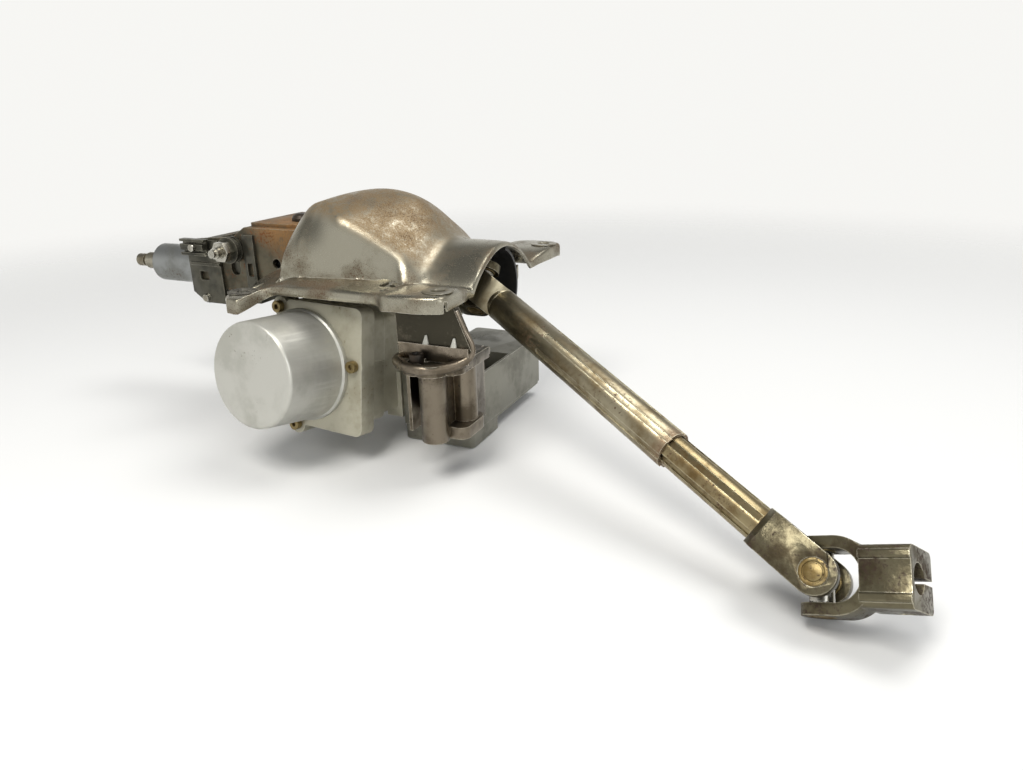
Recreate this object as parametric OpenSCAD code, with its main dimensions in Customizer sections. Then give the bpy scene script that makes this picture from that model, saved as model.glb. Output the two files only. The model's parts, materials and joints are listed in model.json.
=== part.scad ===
// Steering column with electric assist: mounting bracket, tilting column with worm gear, motor and
// control unit, and the telescopic lower shaft between two universal joints.
// Frame: origin midway between the two front bolt faces, +X towards the lower end, +Z up.

/* [Mounting bracket] */
// Distance between the two front bolt holes
front_hole_span = 205; // [200:1:212]
// Diameter of the front bolt holes
front_hole_d = 11; // [8:0.5:13]
// Distance between the two rear bolt holes
rear_hole_span = 226; // [220:1:232]
// Distance from the front holes back to the rear holes
rear_hole_back = 178; // [174:1:184]
// Diameter of the rear bolt holes
rear_hole_d = 9; // [7:0.5:11]
// Height of the rear bolt faces below the front ones
rear_pad_drop = 12; // [9:1:14]
// Thickness of the pressed sheet
sheet_t = 2.6; // [2:0.1:3]
// Height of the saddle over the upper joint
saddle_top = 19; // [18:1:22]
// Distance of the dome's rear wall behind the front holes
dome_back = 166; // [165:1:169]
// Room between the gear housing and the top of the dome
dome_gap = 16; // [13:1:20]

/* [Guide channel] */
// Outer width of the channel that guides the jacket
channel_w = 92; // [88:1:96]
// Thickness of the channel walls
channel_t = 3; // [2.5:0.1:3.5]
// Length of the channel behind the dome
channel_l = 126; // [120:1:132]
// Diameter of the rake clamp bolt
clamp_d = 10; // [8:0.5:12]
// Distance of the clamp bolt behind the front holes
clamp_back = 245; // [242:1:248]
// Height of the clamp bolt above the column axis
clamp_rise = 29; // [28:0.5:31]
// Rake adjustment in degrees
rake_angle = 4.5; // [3:0.5:5]

/* [Column] */
// Depth of the column axis below the front bolt faces
axis_drop = 22; // [21:0.5:24]
// Distance of the upper joint behind the front holes
joint_back = 16; // [15:0.5:18]
// Outer diameter of the jacket tube
jacket_d = 38; // [36:0.5:40]
// Wall of the jacket tube
jacket_wall = 2.5; // [2:0.1:3]
// Length of the jacket tube
jacket_l = 231; // [224:1:242]
// Outer diameter of the wheel spline
spline_d = 17; // [16:0.5:18]
// Length of the shaft end that stands out of the jacket
spline_l = 37; // [34:1:42]
// Diameter of the output shaft
output_d = 24; // [22:0.5:26]

/* [Worm gear and motor] */
// Outer radius of the worm wheel
wheel_r = 57; // [55:0.5:58]
// Number of worm wheel teeth
wheel_teeth = 41; // [35:1:49]
// Width of the worm wheel
wheel_w = 16; // [12:1:18]
// Outer radius of the worm
worm_r = 11; // [10:0.5:12]
// Wall of the gear housing
case_wall = 5; // [4:0.5:6]
// Upward tilt of the motor in degrees
motor_tilt = 7.8; // [5:0.1:10]
// Skew of the motor from square in degrees
motor_skew = 5.8; // [3:0.1:7]
// Distance from the worm gear's centre plane to the motor flange
motor_reach = 92; // [90:1:96]
// Diameter of the motor can at the flange
can_d = 94; // [90:1:96]
// Diameter of the motor can at its closed end
can_end_d = 87; // [84:1:90]
// Length of the motor can
can_l = 60; // [55:1:70]
// Wall of the motor can
can_wall = 2.5; // [2:0.1:3]
// Thickness of the motor flange
flange_t = 16; // [13:1:18]

/* [Control unit] */
// Length of the control unit along the column
ecu_l = 71; // [66:1:76]
// Width of the control unit across the column
ecu_w = 152; // [146:1:158]
// Height of the control unit's case
ecu_h = 49; // [46:1:54]
// Height of the control unit's lower cover
cover_h = 14; // [11:1:16]
// Width of the deep part of the lower cover
cover_w = 54; // [48:1:60]
// Depth of the control unit's top below the column axis
ecu_drop = 72; // [70:1:76]
// Wall of the control unit
ecu_wall = 2.5; // [2:0.1:3]
// Width of the connector socket
socket_w = 53; // [48:1:58]
// Length of the connector socket
socket_l = 28; // [24:1:32]
// Depth of the connector socket
socket_h = 26; // [22:1:30]

/* [Lower shaft] */
// Distance between the two universal joints
joint_span = 361.3; // [350:0.5:370]
// Diameter of the outer tube
tube_d = 28; // [27:0.25:28.5]
// Wall of the outer tube
tube_wall = 2.2; // [1.8:0.1:2.6]
// Distance of the tube's lower end from the upper joint
tube_end = 238; // [228:1:248]
// Number of flutes along the shaft
flutes = 6; // [4:1:8]
// Overall span of the joint crosses over the bearing cups
cross_span = 44; // [42:0.5:46]
// Diameter of the bearing cups
cup_d = 16; // [14:0.5:17]
// Thickness of the fork ears
ear_t = 7; // [6:0.25:7.5]
// Width of the fork ears
ear_w = 23; // [21:0.5:24]
// Bore of the lower clamp yoke
clamp_bore_d = 17; // [15:0.5:18]

/* [Joint angles at rest] */
// Roll of the upper yoke about the column
yoke_roll = -37.8; // [-60:0.1:0]
// Swing of the upper cross in its yoke
upper_swing_a = -12.9; // [-13:0.1:13]
// Swing of the lower shaft on the upper cross
upper_swing_b = 31.9; // [-32:0.1:32]
// Swing of the lower cross in the shaft
lower_swing_a = -40.6; // [-41:0.1:41]
// Swing of the clamp yoke on the lower cross
lower_swing_b = -10.3; // [-30:0.1:30]

/* [Hidden] */
$fn = 64;

// Clearances
run_gap = 0.05;
slide_gap = 0.3;
seat_gap = 0.3;

// Finishes
zinc = [0.62, 0.61, 0.56];
rusty = [0.55, 0.38, 0.22];
plate_grey = [0.36, 0.36, 0.33];
bright = [0.80, 0.80, 0.78];
cast = [0.74, 0.72, 0.66];
warm_cast = [0.66, 0.62, 0.56];
can_alu = [0.76, 0.76, 0.74];
ecu_grey = [0.58, 0.58, 0.55];
oiled = [0.50, 0.46, 0.33];
forged = [0.38, 0.36, 0.30];
brass = [0.62, 0.54, 0.34];
black = [0.09, 0.09, 0.10];
nylon = [0.88, 0.88, 0.84];
copper = [0.70, 0.42, 0.25];
board_green = [0.10, 0.32, 0.16];

// Column line
joint_c = [-joint_back, 0, -axis_drop];
nose_gap = 28;
nose_l = 26;
cone_l = 40;
case_l = 38;
case_gap = 4;
case_r = wheel_r + case_gap + case_wall;
nose_r = 33.5;
nose_x = -joint_back - nose_gap;
case_front = nose_x - nose_l - cone_l;
case_rear = case_front - case_l;
cover_t = 6;
cover_rear = case_rear - cover_t;
cover_hub_l = 20;
wheel_x = case_front - case_l / 2 - 3;
jacket_front = cover_rear - 2;
jacket_rear = jacket_front - jacket_l;
jacket_bore = jacket_d - 2 * jacket_wall;
bearing_w = 12;
bearing_od = 42;
bearing_inset = 6;

// Worm axis
mesh_gap = 0.6;
worm_depth = axis_drop + wheel_r + worm_r + mesh_gap;
barrel_r = worm_r + 12;
barrel_bore = worm_r + 5.5;
barrel_far = 46;
worm_shaft_r = 6;
worm_bearing_w = 9;

// Rake clamp
clamp_x = -clamp_back;
clamp_z = clamp_rise - axis_drop;
washer_t = 3;
washer_count = 3;
washer_d = 24;
nut_t = 10;
nut_af = 17;

// Bracket sheet
front_y = front_hole_span / 2;
rear_y = rear_hole_span / 2;
boss_rise = 0.8;
boss_r = 12;
tab_reach = 22;
dome_top = case_r + dome_gap - axis_drop;
dome_half = case_r + 19;
arch_half = 58;
arch_foot = -9;
rail_z = -6;
rail_half = 106;
front_edge = 6;
front_hole_row = -12.3;
tab_nose = 7;
lip_r = 4;
rail_lip = 9;
tab_lip = 13;
lip_step = 1.5;
corner_drop = 0.12;
arch_lip = 4.3;
wall_lean = 2;
roll_r = 20;
roll_from = 0.62;
pad_half = 13;
rear_edge = -rear_hole_back - pad_half;

// Joint pieces
cup_wall = 2.4;
trunnion_r = cup_d / 2 - cup_wall - run_gap;
cup_floor = 1.4;
fork_throat = 26;
fork_gap = cross_span - 2 * ear_t;

// Control unit
ecu_front = -joint_back + 7;
ecu_rear = ecu_front - ecu_l;
ecu_near = -40;
ecu_top = -axis_drop - ecu_drop;
ecu_bottom = ecu_top - ecu_h;
socket_front = ecu_front - ecu_wall;
socket_near = ecu_near + 29;
socket_rear = socket_front - socket_l;
socket_far = socket_near + socket_w;
socket_floor = ecu_top - socket_h;

// Side support
support_y = front_y - 17.5;
arm_t = 8;
lug_t = 3.5;
pivot_d = 8;
shelf_z = -axis_drop - 38;
shelf_t = 5;
support_base = -axis_drop - 100;

// General shapes
function ease(x, a, b) = let (t = max(0, min(1, (x - a) / (b - a)))) t * t * (3 - 2 * t);
function lerp(a, b, t) = a + (b - a) * t;
function unit(v) = v / norm(v);

module bar_x(d, from, to) {
    translate([from, 0, 0]) rotate([0, 90, 0]) cylinder(d = d, h = to - from);
}

module bar_y(d, from, to) {
    translate([0, from, 0]) rotate([-90, 0, 0]) cylinder(d = d, h = to - from);
}

module pipe_x(od, id, from, to) {
    difference() {
        bar_x(od, from, to);
        bar_x(id, from - 1, to + 1);
    }
}

module pipe_y(od, id, from, to) {
    difference() {
        bar_y(od, from, to);
        bar_y(id, from - 1, to + 1);
    }
}

// Revolved about the X axis from a list of [x, radius] points
module turned(points) {
    rotate([0, 90, 0]) rotate_extrude() polygon([for (p = points) [p[1], p[0]]]);
}

// Flat plate in the XZ plane that starts at y and is t thick towards +Y
module side_plate(y, t) {
    translate([0, y + t, 0]) rotate([90, 0, 0]) linear_extrude(height = t) children();
}

module round_rect(x0, x1, y0, y1, r) {
    translate([x0 + r, y0]) square([x1 - x0 - 2 * r, y1 - y0]);
    translate([x0, y0 + r]) square([x1 - x0, y1 - y0 - 2 * r]);
    for (x = [x0 + r, x1 - r], y = [y0 + r, y1 - r]) translate([x, y]) circle(r = r);
}

module box(x0, x1, y0, y1, z0, z1) {
    translate([x0, y0, z0]) cube([x1 - x0, y1 - y0, z1 - z0]);
}

module hex(af, h) {
    cylinder(d = af / cos(30), h = h, $fn = 6);
}

module both_sides() {
    children();
    mirror([0, 1, 0]) children();
}

// Places along the column, the motor and the lower shaft
module on_column() {
    translate([0, 0, -axis_drop]) children();
}

module on_motor() {
    translate([wheel_x, 0, -worm_depth]) rotate([-motor_tilt, 0, -motor_skew]) children();
}

module on_clamp() {
    translate([clamp_x, 0, clamp_z]) children();
}

module on_upper_yoke() {
    translate(joint_c) rotate([yoke_roll, 0, 0]) children();
}

module on_upper_cross() {
    on_upper_yoke() rotate([0, 0, upper_swing_a]) children();
}

module on_shaft() {
    on_upper_cross() rotate([0, upper_swing_b, 0]) children();
}

module on_lower_cross() {
    on_shaft() translate([joint_span, 0, 0]) rotate([0, lower_swing_a, 0]) children();
}

module on_lower_yoke() {
    on_lower_cross() rotate([0, 0, lower_swing_b]) children();
}

// Bracket sheet: rows run from the rear edge to the front edge, columns across the column.
// Each row is [position, how much of the crown has risen, drop of the edge lip].
hole_half = 8.5;
bush_r = 7.5;
rows = concat(
    [[rear_edge, 0, tab_lip - lip_step]],
    [for (a = [0:45:90]) [rear_edge + lip_r * (1 - cos(a)), 0, lip_r * (1 - sin(a))]],
    [for (x = [-rear_hole_back - hole_half, -rear_hole_back + hole_half]) [x, 0, 0]],
    [for (i = [0:3]) [-dome_back + wall_lean * i / 3, roll_from * i / 3, 0]],
    [for (a = [22.5:22.5:90])
        [-dome_back + wall_lean + roll_r * (1 - cos(a)), lerp(roll_from, 1, sin(a)), 0]],
    [for (x = [-132, -118, -104, -92, -82, -73, -64, -56, -49, -43.5, -38, -30, -21]) [x, 1, 0]],
    [[front_hole_row, 1, 0]],
    [for (a = [0:45:90]) [front_edge - lip_r + lip_r * sin(a), 1, lip_r * (1 - cos(a))]],
    [[front_edge, 1, -1]]);

// Columns are [part of the crown, part of the flange, lip angle]
crown_parts = [0, 0.14, 0.28, 0.42, 0.56, 0.7, 0.8, 0.88, 0.95, 1];
hole_part = [0.56, 0.88];
half_columns = concat(
    [for (t = crown_parts) [t, 0, 0]],
    [for (f = [0.25, hole_part[0], hole_part[1], 1]) [1, f, 0]],
    [for (a = [45, 90, 120]) [1, 1, a]]);
columns = concat([for (i = [len(half_columns) - 1:-1:1]) concat(half_columns[i], -1)],
    [for (c = half_columns) concat(c, 1)]);

front_fall = [[-112, 0], [-87, 0.07], [-82, 0.115], [-73, 0.21], [-64, 0.38], [-56, 0.57], [-49, 0.79],
    [-43.5, 0.94], [-38, 1]];
function crest(x) = lerp(dome_top - 5 * ease(-x, 112, 150), saddle_top, lookup(x, front_fall));
function rear_foot() = ((rear_y - (hole_part[0] + hole_part[1]) / 2 * (rear_y + tab_reach - lip_r))
    / (1 - (hole_part[0] + hole_part[1]) / 2));
function foot_half(x) = x < -dome_back ? rear_foot() : lerp(dome_half, arch_half, ease(x, -74, -34));
function foot_z(x) = lerp(rail_z, arch_foot, ease(x, -60, -30));
function pad_z(x) = lerp(-rear_pad_drop - boss_rise, rail_z, ease(x, -dome_back, -dome_back + 14));
function edge_z(x) = lerp(pad_z(x), -boss_rise, ease(x, -52, -30));
function bell(t) = t >= 1 ? 0 : pow(cos(90 * t), 0.85);
function block(t) = t >= 1 ? 0 : pow(1 - pow(t, 2.6), 0.4);
function section(t, x) = lerp(bell(t), block(t), ease(-x, 66, 122));

// Plan outline of the sheet: rear tabs, rails and front tabs with round corners
function tab_round(d, r) = d >= r ? 0 : r - sqrt(max(0, r * r - (r - d) * (r - d)));
function edge_half(x) =
    let (rear = lerp(rear_y + tab_reach, rail_half, ease(x, -dome_back - 1, -dome_back + 12)))
    let (half = lerp(rear, front_y + tab_reach, ease(x, -54, -34)))
    half - 1.3 * tab_round(x - rear_edge, pad_half) - tab_round(front_edge + 0.5 - x, 16);
function nose_shift(x, y) = tab_nose * ease(x, -34, front_edge) * ease(abs(y), 62, 84);

function front_drop(y) = lerp(arch_lip, tab_lip - lip_step, ease(abs(y), 40, 92));
function side_lip(x) = lerp(rail_lip, tab_lip,
    max(ease(x, -52, -34), ease(-x, dome_back - 12, dome_back + 2)));
function sheet_point(row, col) =
    let (x = row[0], t = col[0], f = col[1], a = col[2])
    let (flat = edge_half(x) - lip_r, foot = min(foot_half(x), flat - 2))
    let (y = foot * t + (flat - foot) * f + lip_r * sin(min(a, 90)))
    let (base = lerp(foot_z(x), edge_z(x), ease(y, min(foot + 3, 78), min(foot + 22, 91))))
    let (crown = foot_z(x) + (crest(x) - foot_z(x)) * row[1] * section(t, x))
    let (low = row[1] > 0 && t < 1 ? crown : base)
    let (side = a > 90 ? side_lip(x) : lip_r * (1 - cos(a)), end = row[2] < 0 ? front_drop(y) : row[2])
    [x + nose_shift(x, y), y * col[3], low - max(side, end) - corner_drop * min(side, end)];

sheet_top = [for (r = rows) [for (c = columns) sheet_point(r, c)]];
row_last = len(rows) - 1;
col_last = len(columns) - 1;
function sheet_normal(i, j) =
    let (r = max(1, min(i, row_last - 1)), c = max(1, min(j, col_last - 1)))
    unit(cross(sheet_top[r + 1][c] - sheet_top[r - 1][c], sheet_top[r][c + 1] - sheet_top[r][c - 1]));

// A cell of the sheet is left out at the four bushes and where the guide channel passes through
function cell_mid(i, j) = (sheet_top[i][j] + sheet_top[i + 1][j + 1]) / 2;
function at_bush(p) = (abs(p[0]) < 2.5 && abs(abs(p[1]) - front_y) < 2.5)
    || (abs(p[0] + rear_hole_back) < 2.5 && abs(abs(p[1]) - rear_y) < 3.5);
function at_channel(p) = abs(p[1]) < channel_w / 2 + 4 && p[0] < -dome_back + wall_lean && p[2] < channel_top;
function at_corner(i, j) = (i <= 1 || i >= row_last - 2) && (j == 0 || j == col_last - 1);
function kept(i, j) = i >= 0 && j >= 0 && i < row_last && j < col_last
    && !at_corner(i, j) && !at_bush(cell_mid(i, j)) && !at_channel(cell_mid(i, j));

module pressed_sheet() {
    wide = col_last + 1;
    count = (row_last + 1) * wide;
    outer = [for (r = sheet_top) for (p = r) p];
    inner = [for (i = [0:row_last]) for (j = [0:col_last]) sheet_top[i][j] - sheet_t * sheet_normal(i, j)];
    function quad(a, b, c, d) = [[a, b, c], [a, c, d]];
    function wall(a, b) = quad(a, a + count, b + count, b);
    faces = [for (i = [0:row_last - 1]) for (j = [0:col_last - 1]) if (kept(i, j))
        let (a = i * wide + j, b = a + 1, c = b + wide, d = a + wide)
        each concat(quad(a, b, c, d), quad(a + count, d + count, c + count, b + count),
            kept(i - 1, j) ? [] : wall(a, b), kept(i, j + 1) ? [] : wall(b, c),
            kept(i + 1, j) ? [] : wall(c, d), kept(i, j - 1) ? [] : wall(d, a))];
    polyhedron(concat(outer, inner), faces);
}

channel_top = 27;
channel_bottom = -32;
channel_low_top = 18;
channel_front = -dome_back + wall_lean - 0.6;
channel_rear = -dome_back - channel_l;

module mounting_bracket() {
    color(zinc) pressed_sheet();
}

bush_drop = 6;
bush_places = [for (y = [-1, 1]) each [[0, y * front_y, 0, front_hole_d],
    [-rear_hole_back, y * rear_y, -rear_pad_drop, rear_hole_d]]];

// Flanged bushes that line the four bolt holes
module mount_bushes() {
    color(zinc) for (p = bush_places) translate([p[0], p[1], p[2]]) difference() {
        union() {
            translate([0, 0, -boss_rise]) cylinder(r = boss_r, h = boss_rise);
            translate([0, 0, -bush_drop]) cylinder(r = bush_r, h = bush_drop);
        }
        translate([0, 0, -bush_drop - 1]) cylinder(d = p[3], h = bush_drop + 2);
    }
}

module guide_channel() {
    half = channel_w / 2;
    slot_d = clamp_d + 2 * slide_gap + 0.4;
    slot_tilt = atan2(clamp_rise, clamp_back - joint_back) - rake_angle / 2;
    slot_run = 2 * norm([clamp_back - joint_back, clamp_rise]) * sin(rake_angle / 2) + 1;
    color(rusty) difference() {
        union() {
            both_sides() side_plate(half - channel_t, channel_t) polygon([[channel_front, channel_bottom],
                [channel_front, channel_top], [clamp_x + 14, channel_top], [clamp_x, channel_low_top],
                [channel_rear, channel_low_top - 4], [channel_rear, channel_bottom + 8],
                [channel_rear + 10, channel_bottom]]);
            box(clamp_x + 14, channel_front, channel_t - half, half - channel_t,
                channel_top - channel_t, channel_top);
            box(channel_rear + 12, clamp_x - 26, channel_t - half, half - channel_t,
                channel_low_top - 5, channel_low_top - 3);
        }
        translate([clamp_x, 0, clamp_z]) rotate([0, slot_tilt, 0]) for (z = [0, -slot_run])
            translate([0, 0, z]) bar_y(slot_d, -half - 1, half + 1);
        translate([clamp_x, 0, clamp_z]) rotate([0, slot_tilt, 0])
            box(-slot_d / 2, slot_d / 2, -half - 1, half + 1, -slot_run, 0);
        translate([-dome_back - 32, 0, -4]) bar_y(9, -half - 1, half + 1);
    }
}

top_plate_t = 3.5;
top_plate_near = 38;
top_plate_far = 34;
top_plate_inset = 16;
screw_back = 24;
screw_half = 14;
screw_x = -dome_back - screw_back;

module top_plate() {
    color(rusty) difference() {
        box(clamp_x + top_plate_inset, -dome_back - 4, -top_plate_near, top_plate_far,
            channel_top, channel_top + top_plate_t);
        for (y = [-screw_half, screw_half]) translate([screw_x, y, channel_top - 1])
            cylinder(d = 6.4, h = top_plate_t + 2);
    }
}

module plate_screws() {
    color(black) for (y = [-screw_half, screw_half])
        translate([screw_x, y, channel_top + top_plate_t]) rotate_extrude()
            polygon([[0, -top_plate_t], [3, -top_plate_t], [3, 0], [9, 0],
                [9, 2.5], [7.5, 5], [5, 6.4], [0, 7]]);
}

guide_t = 3;
guide_rivet_z = -41;

module guide_plates() {
    half = channel_w / 2;
    x0 = channel_rear - 9;
    x1 = clamp_x - washer_d / 2 - 5;
    color(plate_grey) both_sides() {
        difference() {
            side_plate(half, guide_t) union() {
                polygon([[x0, 8], [x0 + 6, 14], [x1, 14], [x1, -46], [x0 + 14, -46], [x0, -36]]);
            }
            box(x0 + 12, x0 + 22, half - 1, half + guide_t + 1, -24, -16);
        }
        translate([x0 + 17, half + guide_t, guide_rivet_z]) rotate([-90, 0, 0])
            cylinder(r1 = 4.5, r2 = 3, h = 2);
        for (z = [-10, 2]) box(x0 + 3, x1, half + guide_t, half + guide_t + 2, z, z + 3);
    }
}

lug_y = support_y - 0.5 - lug_t;
lug_r = 10;
lug_top = -boss_rise - sheet_t - 1.9;
far_arm_y = 46;
far_arm_t = 6;
far_lug_y = far_arm_y + far_arm_t + 0.5;
bolt_head_t = 5.5;

module lug_outline(top) {
    translate([-joint_back, -axis_drop]) circle(r = lug_r);
    translate([-joint_back - lug_r, -axis_drop]) square([2 * lug_r, axis_drop + top]);
}

// The near lug stands inside its arm, the far lug outside
module pivot_lugs() {
    color(zinc) difference() {
        union() {
            side_plate(-lug_y - lug_t, lug_t) lug_outline(lug_top);
            side_plate(far_lug_y, lug_t) lug_outline(arch_foot - 3.2);
        }
        translate(joint_c) bar_y(pivot_d, -lug_y - lug_t - 1, far_lug_y + lug_t + 1);
    }
}

module pivot_bolts() {
    color(bright) translate(joint_c) {
        bar_y(pivot_d, 2 - support_y - arm_t, -lug_y);
        translate([0, -lug_y, 0]) rotate([-90, 0, 0]) hex(13, bolt_head_t);
        bar_y(pivot_d, far_arm_y, far_lug_y + lug_t);
        translate([0, far_lug_y + lug_t, 0]) rotate([-90, 0, 0]) hex(13, bolt_head_t);
    }
}

module jacket_tube() {
    color(can_alu) on_column() turned([[jacket_rear, spline_d / 2 + 3.5], [jacket_rear, jacket_d / 2 - 2],
        [jacket_rear + 2, jacket_d / 2], [jacket_front, jacket_d / 2], [jacket_front, jacket_bore / 2],
        [jacket_rear + 3, jacket_bore / 2], [jacket_rear + 3, spline_d / 2 + 3.5]]);
}

saddle_plate_t = 3;
saddle_half = channel_w / 2 - channel_t - slide_gap;
saddle_behind = 24;
saddle_before = 20;

module clamp_saddle() {
    x0 = clamp_x - saddle_behind;
    x1 = clamp_x + saddle_before;
    color(plate_grey) difference() {
        union() {
            both_sides() box(x0, x1, saddle_half - saddle_plate_t, saddle_half,
                -axis_drop - 22, clamp_z + 7);
            for (x = [x0, x1 - saddle_plate_t])
                box(x, x + saddle_plate_t, -saddle_half + 1, saddle_half - 1, -axis_drop - 22,
                    -axis_drop + jacket_d / 2 - 3);
        }
        on_column() bar_x(jacket_d, x0 - 1, x1 + 1);
        on_clamp() bar_y(clamp_d, -saddle_half - 1, saddle_half + 1);
    }
}

wall_y = channel_w / 2;
stack_y = wall_y + slide_gap + washer_t * washer_count;
bolt_tip_y = stack_y + nut_t + 10;
lever_t = 8;
bolt_head_y = wall_y + slide_gap + lever_t;
bolt_sink = 2;

module clamp_bolt() {
    color(bright) on_clamp() {
        bar_y(clamp_d, -bolt_tip_y + 4, bolt_head_y + bolt_sink);
        bar_y(clamp_d - 3, -bolt_tip_y, -bolt_tip_y + 5);
        translate([0, bolt_head_y, 0]) rotate([-90, 0, 0]) hex(nut_af, 6);
    }
}

module clamp_nut() {
    color(bright) on_clamp() difference() {
        translate([0, -stack_y - nut_t, 0]) rotate([-90, 0, 0]) hex(nut_af, nut_t);
        bar_y(clamp_d, -stack_y - nut_t - 1, -stack_y + 1);
    }
}

module clamp_washers() {
    color(plate_grey) on_clamp() for (i = [0:washer_count - 1])
        pipe_y(washer_d - 3 * (i % 2), clamp_d, -stack_y + washer_t * i, -stack_y + washer_t * (i + 1));
}

module upper_bearing() {
    back = jacket_rear + 6;
    color(bright) on_column() pipe_x(jacket_bore, shaft_d + 2 * run_gap, back, back + bearing_w);
}

shaft_d = 20;
housing_right = 52;

// Outline of the motor-side face in the plane square to the motor axis
flange_left = -22;
flange_right = 62;
flange_top = 54;
flange_bottom = -54;

motor_screw_places = [[-28, flange_top - 7], [can_d / 2 + 7, 6], [-10, flange_bottom]];
screw_ear_r = 8.5;

module flange_outline(shrink) {
    round_rect(flange_left + shrink, flange_right - shrink, flange_bottom + shrink, flange_top - shrink, 7);
    circle(d = can_d + 4 - 2 * shrink);
    for (p = motor_screw_places) translate(p) circle(r = screw_ear_r - shrink);
}

module gear_housing() {
    seat_x = nose_x - bearing_w - bearing_inset;
    flange_face = flange_t - motor_reach;
    case_profile = [[nose_x, bearing_od / 2], [nose_x, nose_r], [nose_x - nose_l, nose_r],
        [case_front, case_r - 6], [case_front - 6, case_r], [case_rear, case_r],
        [case_rear, case_r - case_wall], [case_front - case_wall, case_r - case_wall],
        [case_front - case_wall, bearing_od / 2 + 6], [seat_x, bearing_od / 2 - 4], [seat_x, bearing_od / 2]];
    color(cast) difference() {
        union() {
            on_column() turned(case_profile);
            on_motor() {
                bar_y(2 * barrel_r, flange_face + 10, barrel_far);
                translate([0, flange_face, 0]) rotate([-90, 0, 0]) linear_extrude(height = 22)
                    scale([1, -1]) flange_outline(7);
                translate([0, flange_face + 22, 0]) rotate([-90, 0, 0]) linear_extrude(height = 34)
                    scale([1, -1]) round_rect(-36, housing_right, -44, 46, 6);
            }
            box(ecu_rear - 16, ecu_rear, ecu_near, 20, ecu_bottom + 6, ecu_top);
        }
        on_column() turned([[case_rear - 1, 0], [case_rear - 1, case_r - case_wall],
            [case_front - case_wall, case_r - case_wall], [case_front - case_wall, bearing_od / 2 + 6],
            [seat_x, bearing_od / 2 - 4], [seat_x, 0]]);
        on_column() bar_x(2 * case_r + 2, case_rear - 40, case_rear);
        on_motor() bar_y(2 * barrel_bore, -motor_reach, barrel_far - 5);
        on_column() bar_x(bearing_od - 8, case_front - 10, nose_x + 1);
        on_column() bar_x(bearing_od, seat_x, nose_x + 1);
    }
}

module housing_cover() {
    hub_r = jacket_d / 2 + 6;
    color(cast) on_column() turned([[case_rear, case_r], [cover_rear, case_r - 1], [cover_rear, hub_r + 4],
        [cover_rear - 4, hub_r], [cover_rear - cover_hub_l, hub_r], [cover_rear - cover_hub_l, jacket_d / 2],
        [jacket_front, jacket_d / 2], [jacket_front, jacket_bore / 2], [case_rear, jacket_bore / 2]]);
}

cover_screw_r = case_r - 3;

module cover_screws() {
    color(bright) on_column() for (a = [30:60:330]) rotate([a, 0, 0])
        translate([cover_rear, 0, cover_screw_r - 4]) rotate([0, -90, 0]) hex(7, 3);
}

module shaft_bearings() {
    color(bright) on_column() {
        pipe_x(bearing_od, output_d + 2 * run_gap, nose_x - bearing_w - bearing_inset,
            nose_x - bearing_inset);
        pipe_x(jacket_bore, shaft_d + 2 * run_gap, jacket_front - bearing_w, jacket_front);
    }
}

module torque_sensor() {
    color(black) on_column() pipe_x(2 * (case_r - case_wall) - 40, output_d + 16, case_rear, case_rear + 5);
}

module motor_flange() {
    color(cast) on_motor() difference() {
        translate([0, -motor_reach, 0]) rotate([-90, 0, 0]) linear_extrude(height = flange_t) scale([1, -1])
            flange_outline(0);
        bar_y(2 * barrel_bore, -motor_reach - 1, flange_t - motor_reach + 1);
        for (p = motor_screw_places) translate([p[0], 0, p[1]])
            bar_y(5, -motor_reach - 1, flange_t - motor_reach + 1);
    }
}

module motor_can() {
    y0 = -motor_reach - can_l;
    r1 = can_end_d / 2;
    r2 = can_d / 2;
    edge = 3;
    color(can_alu) on_motor() rotate([-90, 0, 0]) difference() {
        rotate_extrude() polygon(concat([[0, y0]],
            [for (a = [0:15:90]) [r1 - edge + edge * sin(a), y0 + edge - edge * cos(a)]],
            [[r2 - 1, -motor_reach - 5], [r2 + 1, -motor_reach - 4], [r2 + 1, -motor_reach],
                [0, -motor_reach]]));
        translate([0, 0, y0 + can_wall]) cylinder(r1 = r1 - can_wall - 1, r2 = r2 - can_wall - 1, h = can_l);
    }
}

stator_r = can_end_d / 2 - can_wall - 1.3;
rotor_r = stator_r - 12;

module motor_stator() {
    back = -motor_reach - can_l + can_wall;
    color(copper) on_motor() pipe_y(2 * stator_r, 2 * rotor_r + 1, back, -motor_reach - 12);
}

module motor_screws() {
    color(brass) on_motor() for (p = motor_screw_places) translate([p[0], -motor_reach, p[1]]) {
        bar_y(5, 0, flange_t);
        difference() {
            bar_y(10, -5, 0);
            translate([0, -6, 0]) rotate([-90, 0, 0]) hex(4, 4);
        }
    }
}

module worm_bearings() {
    color(bright) on_motor() for (y = [-motor_reach + flange_t + 12, barrel_far - 5 - worm_bearing_w])
        pipe_y(2 * barrel_bore, 2 * (worm_shaft_r + run_gap), y, y + worm_bearing_w);
}

module ecu_case() {
    far = ecu_near + ecu_w;
    color(ecu_grey) difference() {
        translate([0, 0, ecu_bottom]) linear_extrude(height = ecu_h)
            round_rect(ecu_rear, ecu_front, ecu_near, far, 4);
        difference() {
            box(ecu_rear + ecu_wall, ecu_front - ecu_wall, ecu_near + ecu_wall, far - ecu_wall,
                ecu_bottom - 1, ecu_top - ecu_wall);
            box(socket_rear - ecu_wall, ecu_front, socket_near - ecu_wall, socket_far + ecu_wall,
                socket_floor - ecu_wall, ecu_top);
        }
        box(socket_rear, socket_front, socket_near, socket_far, socket_floor, ecu_top + 1);
        for (p = pin_places) translate([p[0], p[1], socket_floor - ecu_wall - 1])
            cylinder(d = pin_d, h = ecu_wall + 2);
    }
}

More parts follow.
